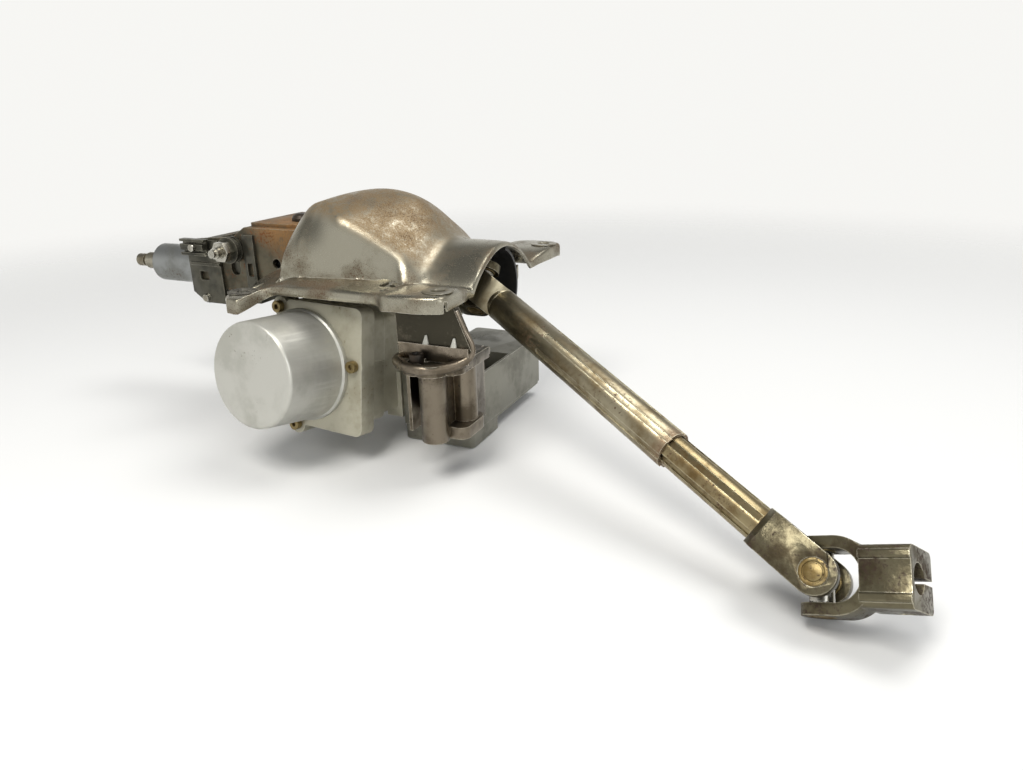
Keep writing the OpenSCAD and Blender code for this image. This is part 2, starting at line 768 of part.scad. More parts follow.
pin_d = 2;
pin_pitch = 8;
pin_places = [for (i = [0:4], j = [0, 1]) [socket_front - socket_l / 2 + (j - 0.5) * 10,
    socket_near + socket_w / 2 + (i - 2) * pin_pitch]];

cover_t_low = 3;

// Lower cover: a plate over the whole unit with a deep tray at the near end
module ecu_cover() {
    far = ecu_near + ecu_w;
    tray_far = ecu_near + cover_w;
    color(ecu_grey) difference() {
        union() {
            translate([0, 0, ecu_bottom - cover_t_low]) linear_extrude(height = cover_t_low)
                round_rect(ecu_rear + 1, ecu_front - 1, ecu_near + 1, far - 1, 4);
            translate([0, 0, ecu_bottom - cover_h]) linear_extrude(height = cover_h)
                round_rect(ecu_rear + 1, ecu_front - 1, ecu_near + 1, tray_far, 4);
        }
        box(ecu_rear + 4, ecu_front - 4, ecu_near + 4, tray_far - 4,
            ecu_bottom - cover_h + 3, ecu_bottom + 1);
    }
}

board_t = 1.6;

module ecu_board() {
    far = ecu_near + ecu_w;
    inset = ecu_wall + slide_gap;
    color(board_green) difference() {
        box(ecu_rear + inset, ecu_front - inset, ecu_near + inset, far - inset,
            ecu_bottom, ecu_bottom + board_t);
        for (p = pin_places) translate([p[0], p[1], ecu_bottom - 1]) cylinder(d = pin_d, h = board_t + 2);
    }
}

module connector_pins() {
    color(brass) for (p = pin_places) translate([p[0], p[1], ecu_bottom])
        cylinder(d = pin_d, h = ecu_h - socket_h + 12);
}

// Cast support on the near side: shelf with a rolled rim, boss, ribs and the arm up to the pivot
boss_x = -10;
boss_y = -101;
support_boss_r = 11;
rear_boss_x = 2;
rear_boss_y = -72;
rear_boss_r = 10;
support_left = -45;
support_right = 12;
support_screw_x = -22;
support_screw_y = -103.2;
nib_y = -95.2;

module shelf_outline(grow) {
    translate([support_left - grow, -92])
        square([support_right - support_left + 2 * grow, 92 + ecu_near - 4]);
    translate([boss_x, boss_y]) circle(r = support_boss_r + 1 + grow);
    translate([boss_x - 24, -92]) circle(r = 11 + grow);
    translate([support_screw_x, support_screw_y]) circle(r = 9 + grow);
    translate([support_right - 10, -92]) circle(r = 10 + grow);
}

arm_top = -axis_drop + 6;

module support_arm() {
    difference() {
        side_plate(-support_y - arm_t, arm_t) polygon([[support_left, arm_top], [support_right - 5, arm_top],
            [support_right + 9, shelf_z + 11], [support_right, shelf_z], [support_left, shelf_z]]);
        translate(joint_c) bar_y(pivot_d + 2 * run_gap, 1.5 - support_y - arm_t, 1 - support_y);
    }
}

module side_support() {
    back = ecu_near - 4;
    color(warm_cast) difference() {
        union() {
            box(support_left, support_right - 8, back, ecu_near, support_base, shelf_z);
            translate([0, 0, shelf_z - shelf_t]) linear_extrude(height = shelf_t) shelf_outline(0);
            translate([0, 0, shelf_z - shelf_t - 1]) linear_extrude(height = shelf_t + 4) difference() {
                shelf_outline(2);
                shelf_outline(-2);
                translate([support_left - 10, back - 6]) square([support_right - support_left + 20, 20]);
            }
            translate([boss_x, boss_y, support_base])
                cylinder(r = support_boss_r, h = shelf_z - support_base);
            translate([rear_boss_x, rear_boss_y, support_base])
                cylinder(r = rear_boss_r, h = shelf_z - support_base);
            box(rear_boss_x - 3, rear_boss_x + 3, rear_boss_y, back, support_base, shelf_z - shelf_t);
            for (x = [support_left + 6, boss_x + 4])
                box(x, x + 3, boss_y + 8, back, support_base, shelf_z - shelf_t);
            translate([0, 0, support_base]) linear_extrude(height = 10)
                round_rect(boss_x - 6, support_right + 2, boss_y + 6, rear_boss_y + 14, 8);
            box(support_left + 2, boss_x, -78, back, support_base + 14, support_base + 20);
            support_arm();
        }
        translate([boss_x, boss_y, support_base - 1]) cylinder(d = 8, h = 30);
        translate([support_screw_x, support_screw_y, shelf_z - shelf_t - 1]) cylinder(d = 6, h = shelf_t + 5);
    }
}

module support_screw() {
    color(black) translate([support_screw_x, support_screw_y, shelf_z]) {
        translate([0, 0, -shelf_t]) cylinder(d = 6, h = shelf_t);
        difference() {
            cylinder(d = 11, h = 9);
            translate([0, 0, 5]) hex(6, 5);
        }
    }
}

module support_clips() {
    color(nylon) for (x = [-24, 1]) translate([x, nib_y, shelf_z + 3.5])
        cylinder(r1 = 2, r2 = 0.8, h = 11.5);
}

// Arm cast on the far side of the gear housing's cone, out to the far pivot
module far_support() {
    back = case_front + 8;
    color(warm_cast) difference() {
        side_plate(far_arm_y, far_arm_t) union() {
            translate([-joint_back, -axis_drop]) circle(r = lug_r);
            translate([back, -axis_drop - lug_r]) square([-joint_back - back, 2 * lug_r]);
        }
        on_column() turned([[nose_x, 0], [nose_x, nose_r], [nose_x - nose_l, nose_r + run_gap],
            [case_front, case_r - 6 + run_gap], [case_front, 0]]);
        translate(joint_c) bar_y(pivot_d + 2 * run_gap, far_arm_y - 1, far_arm_y + far_arm_t + 1);
    }
}

guard_t = 2.5;

module joint_guard() {
    color(black) on_column() rotate([0, 90, 0]) rotate([0, 0, 60]) rotate_extrude(angle = 100)
        translate([nose_r, nose_x - 14]) square([guard_t, 14 + nose_gap + 18]);
}

module wheel_shaft() {
    tip = jacket_rear - spline_l;
    teeth = 36;
    color(can_alu) on_column() difference() {
        turned([[tip, 0], [tip, 5], [tip + 1.5, 6.5], [tip + 11, 6.5], [tip + 11, 5.4], [tip + 14, 5.4],
            [tip + 16, spline_d / 2], [jacket_rear - 4, spline_d / 2], [jacket_rear - 3, shaft_d / 2],
            [jacket_front + 8, shaft_d / 2], [jacket_front + 8, 0]]);
        for (i = [0:teeth - 1]) rotate([i * 360 / teeth, 0, 0])
            box(tip + 15, tip + 30, -0.35, 0.35, spline_d / 2 - 0.6, spline_d / 2 + 2);
        bar_x(torsion_d + 2 * run_gap, jacket_front - 30, jacket_front + 9);
    }
}

torsion_d = 9;

module torsion_bar() {
    color(bright) on_column() bar_x(torsion_d, jacket_front - 30 + run_gap, wheel_x + 40);
}

module worm_wheel() {
    root_r = wheel_r - 4.5;
    tooth = 360 / wheel_teeth;
    color(nylon) on_column() translate([wheel_x - wheel_w / 2, 0, 0]) rotate([0, 90, 0]) difference() {
        linear_extrude(height = wheel_w) polygon([for (i = [0:wheel_teeth - 1])
            for (p = [[-0.28, root_r], [-0.14, wheel_r], [0.14, wheel_r], [0.28, root_r]])
                p[1] * [cos((i + p[0]) * tooth), sin((i + p[0]) * tooth)]]);
        translate([0, 0, -1]) cylinder(d = output_d, h = wheel_w + 2);
        for (a = [0:60:300]) rotate(a) translate([wheel_r - 22, 0, -1]) cylinder(d = 14, h = wheel_w + 2);
    }
}

// Forged fork with a round-bottomed throat; its pin axis runs along local Y
module u_fork(w = ear_w) {
    centre = fork_throat - fork_gap / 2;
    intersection() {
        translate([0, 0, -w / 2]) linear_extrude(height = w) difference() {
            union() {
                translate([-w / 2, -cross_span / 2]) square([w / 2 + centre, cross_span]);
                translate([centre, 0]) circle(d = cross_span);
            }
            translate([-w, -fork_gap / 2]) square([w + centre, fork_gap]);
            translate([centre, 0]) circle(d = fork_gap);
        }
        side_plate(-cross_span, 2 * cross_span) union() {
            circle(d = w);
            translate([0, -w / 2]) square([cross_span + fork_throat, w]);
        }
    }
}

// Forged fork with a square block behind the throat
module block_fork(w, back) {
    centre = fork_throat - fork_gap / 2;
    half = cross_span / 2;
    intersection() {
        translate([0, 0, -w / 2]) linear_extrude(height = w) difference() {
            polygon([[-w / 2, -half], [back - 5, -half], [back, 5 - half], [back, half - 5], [back - 5, half],
                [-w / 2, half]]);
            translate([-w, -fork_gap / 2]) square([w + centre, fork_gap]);
            translate([centre, 0]) circle(d = fork_gap);
        }
        side_plate(-cross_span, 2 * cross_span) union() {
            circle(d = w);
            translate([0, -w / 2]) square([2 * back, w]);
        }
    }
}

fork_back = fork_throat - fork_gap / 2 + cross_span / 2;

module cup_bores() {
    bar_y(cup_d, -cross_span, cross_span);
}

module cups() {
    inner = fork_gap / 2 - 0.5;
    both_sides() difference() {
        bar_y(cup_d, inner, cross_span / 2);
        bar_y(2 * (trunnion_r + run_gap), inner - 1, cross_span / 2 - cup_floor);
    }
}

module cross_body() {
    reach = cross_span / 2 - cup_floor - seat_gap;
    for (a = [0, 90]) rotate([a, 0, 0]) bar_y(2 * trunnion_r, -reach, reach);
    for (a = [0, 90]) rotate([a, 0, 0]) bar_y(cup_d - 2, -fork_gap / 2 + 1.2, fork_gap / 2 - 1.2);
}

// Fork that opens towards +X with its pin along local Z, as on the output shaft
module output_yoke() {
    shaft_end = -(case_rear + joint_back);
    color(forged) on_upper_yoke() difference() {
        union() {
            rotate([90, 0, 0]) mirror([1, 0, 0]) u_fork();
            bar_x(output_d, -shaft_end, 4 - fork_back);
        }
        rotate([90, 0, 0]) cup_bores();
        bar_x(torsion_d + 2 * run_gap, -shaft_end - 1, wheel_x + 40 + joint_back + run_gap);
    }
}

module output_cups() {
    color(brass) on_upper_yoke() rotate([90, 0, 0]) cups();
}

worm_l = 40;
thread_pitch = 7;

module worm_shaft() {
    root_r = worm_r - 4;
    y0 = -motor_reach - can_l + can_wall + 4;
    rings = floor(worm_l / thread_pitch);
    start = -rings * thread_pitch / 2;
    color(bright) on_motor() rotate([-90, 0, 0]) rotate_extrude() polygon(concat(
        [[0, y0], [worm_shaft_r, y0], [worm_shaft_r, start - 2], [root_r, start]],
        [for (i = [0:rings - 1]) let (y = start + i * thread_pitch)
            each [[root_r, y + 1], [worm_r, y + 2.6], [worm_r, y + 4.4], [root_r, y + 6]]],
        [[root_r, -start], [worm_shaft_r, -start + 2], [worm_shaft_r, barrel_far - 6], [0, barrel_far - 6]]));
}

module motor_rotor() {
    back = -motor_reach - can_l + can_wall + 6;
    color(plate_grey) on_motor() pipe_y(2 * rotor_r, 2 * worm_shaft_r, back, -motor_reach - 14);
}

module upper_cross() {
    color(bright) on_upper_cross() cross_body();
}

flute_w = 4.5;
flute_depth = 1.1;
hub_l = 4;
tube_start = fork_back - 4;

module flute_cuts(r, from, to) {
    for (i = [0:flutes - 1]) rotate([i * 360 / flutes + 12, 0, 0]) {
        box(from, to, -flute_w / 2, flute_w / 2, r - flute_depth, r + 5);
        translate([from, 0, r - flute_depth]) cylinder(d = flute_w, h = 5 + flute_depth);
    }
}

module outer_tube() {
    inner_d = tube_d - 2 * tube_wall;
    color(oiled) on_shaft() difference() {
        bar_x(tube_d, tube_start + hub_l, tube_end);
        bar_x(inner_d, tube_start + hub_l + 40, tube_end + 1);
        bar_x(tube_d - 2 * tube_wall - 3, tube_start, tube_end);
        flute_cuts(tube_d / 2, tube_start + hub_l + 68, tube_end + 5);
    }
}

module tube_fork() {
    plug_d = tube_d - 2 * tube_wall - 3;
    color(oiled) on_shaft() difference() {
        union() {
            u_fork(tube_d - 1);
            bar_x(tube_d, tube_start, tube_start + hub_l);
            bar_x(plug_d, tube_start + hub_l, tube_start + hub_l + 20);
        }
        cup_bores();
    }
}

module tube_cups() {
    color(brass) on_shaft() cups();
}

inner_d = tube_d - 2 * tube_wall - 2 * run_gap;
inner_start = tube_end - 92;
block_w = 26;
block_back = 42;

module inner_shaft() {
    color(oiled) on_shaft() difference() {
        bar_x(inner_d, inner_start, joint_span - fork_back + 4);
        flute_cuts(inner_d / 2, inner_start - 5, joint_span - block_back - 3);
        bar_x(inner_d - 9, inner_start - 1, joint_span - fork_back - 10);
    }
}

module shaft_fork() {
    color(forged) on_shaft() translate([joint_span, 0, 0]) difference() {
        mirror([1, 0, 0]) block_fork(block_w, block_back);
        cup_bores();
        bar_x(inner_d, -block_back - 1, -fork_back + 4);
    }
}

module shaft_cups() {
    color(brass) on_shaft() translate([joint_span, 0, 0]) cups();
}

module lower_cross() {
    color(bright) on_lower_cross() cross_body();
}

clamp_hub_l = 27;
clamp_hub_half = 17;
clamp_hub_near = -12;
clamp_hub_far = clamp_bore_d / 2 + 13;
pinch_hole_d = 8.5;
hub_rib_w = 5;
hub_rib_at = 11.5;

// Section of the clamp hub across local Z and Y: a block with two raised ribs on its near face
module hub_section() {
    round_rect(-clamp_hub_half, clamp_hub_half, clamp_hub_near, clamp_hub_far, 3.5);
    for (z = [-hub_rib_at, hub_rib_at])
        round_rect(z - hub_rib_w / 2, z + hub_rib_w / 2, clamp_hub_near - 1.5, 0, 1.5);
}

// Lower yoke: fork and split clamp for the pinion shaft, pin along local Z
module clamp_yoke() {
    x0 = fork_back - 8;
    x1 = x0 + clamp_hub_l;
    color(forged) on_lower_yoke() difference() {
        union() {
            rotate([90, 0, 0]) u_fork();
            translate([x0, 0, 0]) rotate([0, 90, 0]) linear_extrude(height = clamp_hub_l) hub_section();
        }
        rotate([90, 0, 0]) cup_bores();
        bar_x(clamp_bore_d, x0 - 10, x1 + 1);
        box(x0 - 10, x1 + 1, 0, 2 * clamp_hub_far, -1.5, 1.5);
        translate([x0 + clamp_hub_l / 2 + 2, clamp_hub_far - 6.5, -cross_span])
            cylinder(d = pinch_hole_d, h = 2 * cross_span);
    }
}

module clamp_cups() {
    color(brass) on_lower_yoke() rotate([90, 0, 0]) cups();
}

lever_l = 42;

module clamp_lever() {
    y0 = wall_y + slide_gap;
    color(plate_grey) on_clamp() difference() {
        union() {
            side_plate(y0, lever_t) union() {
                circle(d = washer_d + 4);
                translate([0, -7]) square([lever_l, 14]);
                translate([lever_l, 0]) circle(d = 14);
            }
        }
        bar_y(clamp_d + 2 * run_gap, y0 - 1, y0 + lever_t + 1);
    }
}

mounting_bracket();
mount_bushes();
guide_channel();
top_plate();
plate_screws();
guide_plates();
pivot_lugs();
pivot_bolts();
jacket_tube();
clamp_saddle();
clamp_bolt();
clamp_nut();
clamp_washers();
upper_bearing();
gear_housing();
housing_cover();
cover_screws();
shaft_bearings();
torque_sensor();
motor_flange();
motor_can();
motor_stator();
motor_screws();
worm_bearings();
ecu_case();
ecu_cover();
ecu_board();
connector_pins();
side_support();
support_screw();
support_clips();
far_support();
joint_guard();
wheel_shaft();
torsion_bar();
worm_wheel();
output_yoke();
output_cups();
worm_shaft();
motor_rotor();
upper_cross();
outer_tube();
tube_fork();
tube_cups();
inner_shaft();
shaft_fork();
shaft_cups();
lower_cross();
clamp_yoke();
clamp_cups();
clamp_lever();
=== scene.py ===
"""Looks of a tilting steering column with electric assist.

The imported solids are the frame. Classes below model the pieces that need softer edges or finer
forms than the solids have, dress every piece with a procedural finish, and set the studio.
The frame is the part's own: +X towards the lower shaft, +Z up. Sizes of pieces are in millimetres,
those of finishes and of the studio in metres.
"""

from __future__ import annotations

import json
import logging
import math
from dataclasses import dataclass, field
from enum import Enum
from typing import Iterable

import bpy
from mathutils import Matrix, Vector

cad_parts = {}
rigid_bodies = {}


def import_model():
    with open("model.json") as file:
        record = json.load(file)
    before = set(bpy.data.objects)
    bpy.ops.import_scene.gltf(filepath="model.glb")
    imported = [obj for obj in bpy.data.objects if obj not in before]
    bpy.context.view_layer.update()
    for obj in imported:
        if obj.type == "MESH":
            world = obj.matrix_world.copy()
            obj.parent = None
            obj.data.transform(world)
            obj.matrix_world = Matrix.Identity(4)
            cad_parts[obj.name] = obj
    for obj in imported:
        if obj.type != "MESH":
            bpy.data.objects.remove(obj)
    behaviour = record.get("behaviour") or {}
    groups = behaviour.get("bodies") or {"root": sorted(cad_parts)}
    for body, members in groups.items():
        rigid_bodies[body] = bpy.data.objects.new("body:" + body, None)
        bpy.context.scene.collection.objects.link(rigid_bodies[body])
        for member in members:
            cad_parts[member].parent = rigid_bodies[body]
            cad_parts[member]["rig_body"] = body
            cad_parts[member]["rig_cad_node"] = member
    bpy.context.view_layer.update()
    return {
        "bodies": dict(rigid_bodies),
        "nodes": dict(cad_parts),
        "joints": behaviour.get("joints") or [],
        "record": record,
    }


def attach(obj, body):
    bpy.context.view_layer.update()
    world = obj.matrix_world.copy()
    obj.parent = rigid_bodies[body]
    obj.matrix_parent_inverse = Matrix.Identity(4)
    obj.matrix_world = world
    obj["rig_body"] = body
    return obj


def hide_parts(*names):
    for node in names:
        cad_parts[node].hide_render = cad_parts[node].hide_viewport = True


LOG = logging.getLogger("steering_column")
MM = 0.001
Colour = tuple[float, float, float]
Point = tuple[float, float, float]
Span = tuple[float, float]
Piece = bpy.types.Object
Socket = bpy.types.NodeSocket
GroupParts = tuple[bpy.types.NodeTree, "Graph", bpy.types.Node, bpy.types.Node]
# Direction along Y of each side of the part.
SIDES = {"near": -1, "far": 1}
# Height of the bumps of a finish's grain and of its fine lines.
GRAIN_DEPTH = 0.0006
LINE_DEPTH = 0.0004


def srgb(red: int, green: int, blue: int) -> Colour:
    """Turns a colour as seen on a screen into the linear values that shaders use.

    Args:
        red: Red from 0 to 255.
        green: Green from 0 to 255.
        blue: Blue from 0 to 255.

    Returns:
        The linear colour.
    """

    def linear(value: int) -> float:
        """Linear value of one channel."""
        part = value / 255
        return part / 12.92 if part <= 0.04045 else ((part + 0.055) / 1.055) ** 2.4

    return linear(red), linear(green), linear(blue)


class Bench:
    """The modelling bench: Blender's operators, each on one piece at a time."""

    # In a copied solid, points this close are merged, and faces this level are joined.
    WELD_GAP = 0.02 * MM
    FLAT_ANGLE = math.radians(0.4)
    # Fineness of a bead round its section and along its line.
    BEAD_STEPS = (5, 6)

    @staticmethod
    def clear() -> None:
        """Deselects every object."""
        bpy.ops.object.select_all(action="DESELECT")

    @classmethod
    def pick(cls, piece: Piece) -> None:
        """Makes one piece the only selected and active one."""
        cls.clear()
        piece.select_set(True)
        bpy.context.view_layer.objects.active = piece

    @classmethod
    def copy_of(cls, node: Piece, name: str) -> Piece:
        """Copies a solid of the frame as a clean mesh with flat faces joined.

        Args:
            node: The solid to copy.
            name: Name of the new piece.

        Returns:
            The new piece at the origin, with no parent.
        """
        cls.pick(node)
        bpy.ops.object.duplicate()
        piece = bpy.context.object
        piece.parent = None
        piece.matrix_world = Matrix.Identity(4)
        piece.name = name
        piece.data.name = name
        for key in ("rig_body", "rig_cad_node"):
            if key in piece:
                del piece[key]
        piece.data.materials.clear()
        if piece.data.has_custom_normals:
            bpy.ops.mesh.customdata_custom_splitnormals_clear()
        bpy.ops.object.mode_set(mode="EDIT")
        bpy.ops.mesh.select_all(action="SELECT")
        bpy.ops.mesh.remove_doubles(threshold=cls.WELD_GAP)
        bpy.ops.mesh.dissolve_limited(angle_limit=cls.FLAT_ANGLE)
        bpy.ops.object.mode_set(mode="OBJECT")
        return piece

    @classmethod
    def settle(cls, piece: Piece, name: str) -> Piece:
        """Names a piece and applies its place, turn and scale.

        Args:
            piece: The piece.
            name: Its new name.

        Returns:
            The same piece, at the origin.
        """
        piece.name = name
        piece.data.name = name
        cls.pick(piece)
        bpy.ops.object.transform_apply(location=True, rotation=True, scale=True)
        return piece

    @classmethod
    def block(cls, name: str, low: Point, high: Point) -> Piece:
        """Starts a piece from a block between two corners in millimetres.

        Args:
            name: Name of the piece.
            low: Corner with the smallest values.
            high: Corner with the largest values.

        Returns:
            The new piece.
        """
        cls.clear()
        bpy.ops.mesh.primitive_cube_add(size=1, location=(Vector(low) + Vector(high)) * MM / 2)
        piece = bpy.context.object
        piece.scale = (Vector(high) - Vector(low)) * MM
        return cls.settle(piece, name)

    @classmethod
    def rod(cls, name: str, start: Point, end: Point, radius: float, sides: int = 40) -> Piece:
        """Starts a piece from a rod between two points in millimetres.

        Args:
            name: Name of the piece.
            start: First end of the rod's axis.
            end: Second end of the rod's axis.
            radius: Radius of the rod.
            sides: Number of flats round it.

        Returns:
            The new piece.
        """
        line = Vector(end) - Vector(start)
        cls.clear()
        bpy.ops.mesh.primitive_cylinder_add(
            vertices=sides, radius=radius * MM, depth=line.length * MM,
            location=(Vector(start) + Vector(end)) * MM / 2, rotation=line.to_track_quat("Z", "Y").to_euler())
        return cls.settle(bpy.context.object, name)

    @classmethod
    def bead(cls, name: str, points: Iterable[tuple[float, float, float, float]]) -> Piece:
        """Draws a round bead along a smooth line through points in millimetres.

        Args:
            name: Name of the piece.
            points: Points on the bead's centre line, each with the bead's radius there.

        Returns:
            The new piece.
        """
        places = list(points)
        curve = bpy.data.curves.new(name, "CURVE")
        curve.dimensions = "3D"
        curve.bevel_depth = MM
        curve.bevel_resolution, curve.resolution_u = cls.BEAD_STEPS
        curve.use_fill_caps = True
        line = curve.splines.new("BEZIER")
        line.bezier_points.add(len(places) - 1)
        for knot, (x, y, z, radius) in zip(line.bezier_points, places):
            knot.co = Vector((x, y, z)) * MM
            knot.radius = radius
            knot.handle_left_type = knot.handle_right_type = "AUTO"
        piece = bpy.data.objects.new(name, curve)
        bpy.context.scene.collection.objects.link(piece)
        cls.pick(piece)
        bpy.ops.object.convert(target="MESH")
        return cls.settle(bpy.context.object, name)

    @classmethod
    def cut(cls, piece: Piece, *tools: Piece) -> None:
        """Cuts tools out of a piece and removes them.

        Args:
            piece: The piece to cut.
            *tools: Pieces whose volume is taken away.
        """
        for tool in tools:
            taken = piece.modifiers.new("cut", "BOOLEAN")
            taken.operation = "DIFFERENCE"
            taken.solver = "EXACT"
            taken.object = tool
            cls.apply_all(piece)
            bpy.data.objects.remove(tool, do_unlink=True)

    @classmethod
    def apply_all(cls, piece: Piece) -> None:
        """Applies the modifiers of a piece from the top down."""
        cls.pick(piece)
        for modifier in list(piece.modifiers):
            bpy.ops.object.modifier_apply(modifier=modifier.name)

    @classmethod
    def round_edges(cls, piece: Piece, width: float, angle: float = 32, steps: int = 2) -> None:
        """Rounds the sharp edges of a piece and shades it smooth between them.

        Args:
            piece: The piece to round.
            width: Width of the rounded edge in millimetres.
            angle: Edges sharper than this many degrees are rounded.
            steps: Number of strips across the rounded edge.
        """
        bevel = piece.modifiers.new("rounded_edges", "BEVEL")
        bevel.width = width * MM
        bevel.segments = steps
        bevel.limit_method = "ANGLE"
        bevel.angle_limit = math.radians(angle)
        bevel.use_clamp_overlap = True
        bevel.harden_normals = False
        cls.apply_all(piece)
        cls.smooth(piece)

    @classmethod
    def smooth(cls, piece: Piece, angle: float = 38) -> None:
        """Shades a piece smooth except over edges sharper than the angle."""
        cls.pick(piece)
        bpy.ops.object.shade_smooth_by_angle(angle=math.radians(angle))


class Graph:
    """A small helper that builds shader nodes and their links."""

    def __init__(self, tree: bpy.types.NodeTree) -> None:
        """Starts on a node tree."""
        self.tree = tree

    def add(self, kind: str, **values: object) -> bpy.types.Node:
        """Adds a node and sets its own options.

        Args:
            kind: Blender's node type.
            **values: Options of the node by attribute name.

        Returns:
            The new node.
        """
        node = self.tree.nodes.new(kind)
        for key, value in values.items():
            setattr(node, key, value)
        return node

    def join(self, source: Socket, target: Socket) -> None:
        """Links an output to an input."""
        self.tree.links.new(source, target)

    def math(self, operation: str, first: object, second: object, clamp: bool = False) -> Socket:
        """Adds one sum on two values or sockets.

        Args:
            operation: Name of the sum, such as MULTIPLY.
            first: First value or socket.
            second: Second value or socket.
            clamp: Whether the result is kept between 0 and 1.

        Returns:
            The result's socket.
        """
        node = self.add("ShaderNodeMath", operation=operation, use_clamp=clamp)
        for index, value in enumerate((first, second)):
            if isinstance(value, Socket):
                self.join(value, node.inputs[index])
            else:
                node.inputs[index].default_value = value
        return node.outputs[0]

    def mix(self, factor: Socket, first: object, second: object) -> Socket:
        """Mixes two colours or colour sockets.

        Args:
            factor: Share of the second colour.
            first: First colour or socket.
            second: Second colour or socket.

        Returns:
            The mixed colour's socket.
        """
        node = self.add("ShaderNodeMix", data_type="RGBA")
        self.join(factor, node.inputs[0])
        for index, value in ((6, first), (7, second)):
            if isinstance(value, Socket):
                self.join(value, node.inputs[index])
            else:
                node.inputs[index].default_value = (*value, 1)
        return node.outputs[2]

    def blend(self, factor: Socket, first: Socket, second: float) -> Socket:
        """Moves a value towards a number by a factor.

        Args:
            factor: Share of the number.
            first: Socket with the value.
            second: The number.

        Returns:
            The blended value's socket.
        """
        node = self.add("ShaderNodeMix", data_type="FLOAT")
        self.join(factor, node.inputs[0])
        self.join(first, node.inputs[2])
        node.inputs[3].default_value = second
        return node.outputs[0]

    def ramp(self, value: Socket, low: float, high: float, start: float = 0, end: float = 1) -> Socket:
        """Maps a value smoothly from one range to another.

        Args:
            value: Socket to map.
            low: Where the result starts.
            high: Where the result ends.
            start: Result at low.
            end: Result at high.

        Returns:
            The mapped value's socket.
        """
        node = self.add("ShaderNodeMapRange", interpolation_type="SMOOTHSTEP")
        self.join(value, node.inputs["Value"])
        for key, number in (("From Min", low), ("From Max", high), ("To Min", start), ("To Max", end)):
            node.inputs[key].default_value = number
        return node.outputs["Result"]


